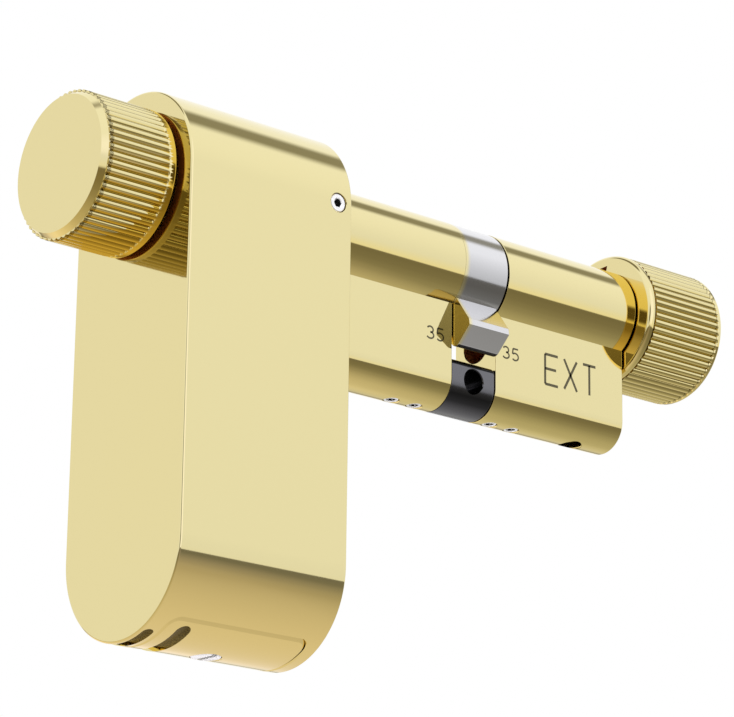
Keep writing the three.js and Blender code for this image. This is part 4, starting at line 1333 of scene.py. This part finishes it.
def build_table():
    """The grey tabletop under the lock. It only shows in the plating, and gets lighter away from
    the window side and under the module."""
    table, tree = plane("tabletop", (-1.4, -1.2), (0.42, 1.6), -0.085)
    _, x, y, _ = point(tree)
    tone = mix_colours(tree, 1.0, tone_ramp(tree, x, 0.6, 1.0, TABLE_TONES),
                       tone_ramp(tree, y, 0.3, 0.4, TABLE_LIFT), "MULTIPLY")
    blend_out(tree, "Material", ramp_between(tree, x, 0.33, 0.41),
              chain(tree, "Emission", tone, Strength=2.0), chain(tree, "BsdfTransparent"))
    table.visible_camera = table.visible_diffuse = table.visible_shadow = False


def build_lamp(name, spot, wide, power):
    """A round lamp that faces the lock and doesn't show in its plating."""
    data = bpy.data.lights.new(name, "AREA")
    data.shape, data.size, data.energy = "DISK", wide, power
    lamp, spot = add_object(name, data), Vector(spot)
    facing = (MIDDLE - spot).to_track_quat("-Z", "Y")
    lamp.matrix_world = Matrix.LocRotScale(spot, facing, None)
    lamp.visible_glossy = False


def build_camera():
    """The camera, from the direction that it looks in, its roll and its lens."""
    azimuth, elevation, roll = (math.radians(angle) for angle in CAMERA_TURN)
    back = Vector((math.sin(azimuth) * math.cos(elevation),
                   -math.cos(azimuth) * math.cos(elevation), math.sin(elevation)))
    level = (-back).cross(Vector((0, 0, 1))).normalized()
    plumb = level.cross(-back)
    right = level * math.cos(roll) + plumb * math.sin(roll)
    up = -level * math.sin(roll) + plumb * math.cos(roll)
    spot = MIDDLE + back * CAMERA_BACK - right * CAMERA_LEFT + up * CAMERA_UP
    data = bpy.data.cameras.new("camera")
    data.lens, data.sensor_width, data.clip_start = LENS, SENSOR, 0.01
    camera = bpy.context.scene.camera = add_object("camera", data)
    turned = Matrix((right, up, back)).transposed().to_4x4()
    camera.matrix_world = Matrix.Translation(spot) @ turned


class LOCK_OT_stage(bpy.types.Operator):
    """Set up the floor, the studio light and the camera"""

    bl_idname = "lock.stage"
    bl_label = "Stage"

    def execute(self, context):
        context.scene.view_settings.view_transform = "Standard"
        build_world()
        build_floor()
        build_table()
        build_lamp("key", (0.5, -0.5, 0.8), 0.7, 4.0)
        build_lamp("fill", (-0.6, 0.3, 0.6), 0.9, 2.0)
        build_camera()
        return {"FINISHED"}


# ---------------------------------------------------------------- add-on

PIECE_OPERATORS = (
    LOCK_OT_cylinder_halves, LOCK_OT_bridge, LOCK_OT_cam, LOCK_OT_rotors, LOCK_OT_indoor_knob,
    LOCK_OT_outdoor_knob, LOCK_OT_module, LOCK_OT_battery_door, LOCK_OT_cells, LOCK_OT_drive,
    LOCK_OT_marks, LOCK_OT_stage,
)


class LOCK_PT_parts(bpy.types.Panel):
    """Lists the lock's pieces in the sidebar"""

    bl_idname = "LOCK_PT_parts"
    bl_label = "Lock"
    bl_space_type = "VIEW_3D"
    bl_region_type = "UI"
    bl_category = "Lock"

    def draw(self, context):
        for operator in PIECE_OPERATORS:
            self.layout.operator(operator.bl_idname)
        for group in (context.scene.lock_sizes, context.scene.lock_finishes):
            for key in group.__annotations__:
                self.layout.prop(group, key)


CLASSES = (LockSizes, LockFinishes, *PIECE_OPERATORS, LOCK_PT_parts)


def register():
    for cls in CLASSES:
        bpy.utils.register_class(cls)
    bpy.types.Scene.lock_sizes = PointerProperty(type=LockSizes)
    bpy.types.Scene.lock_finishes = PointerProperty(type=LockFinishes)


def unregister():
    del bpy.types.Scene.lock_finishes
    del bpy.types.Scene.lock_sizes
    for cls in reversed(CLASSES):
        bpy.utils.unregister_class(cls)


def main():
    register()
    build_materials()
    for operator in PIECE_OPERATORS:
        group, name = operator.bl_idname.split(".")
        getattr(getattr(bpy.ops, group), name)()


if __name__ == "__main__":
    main()
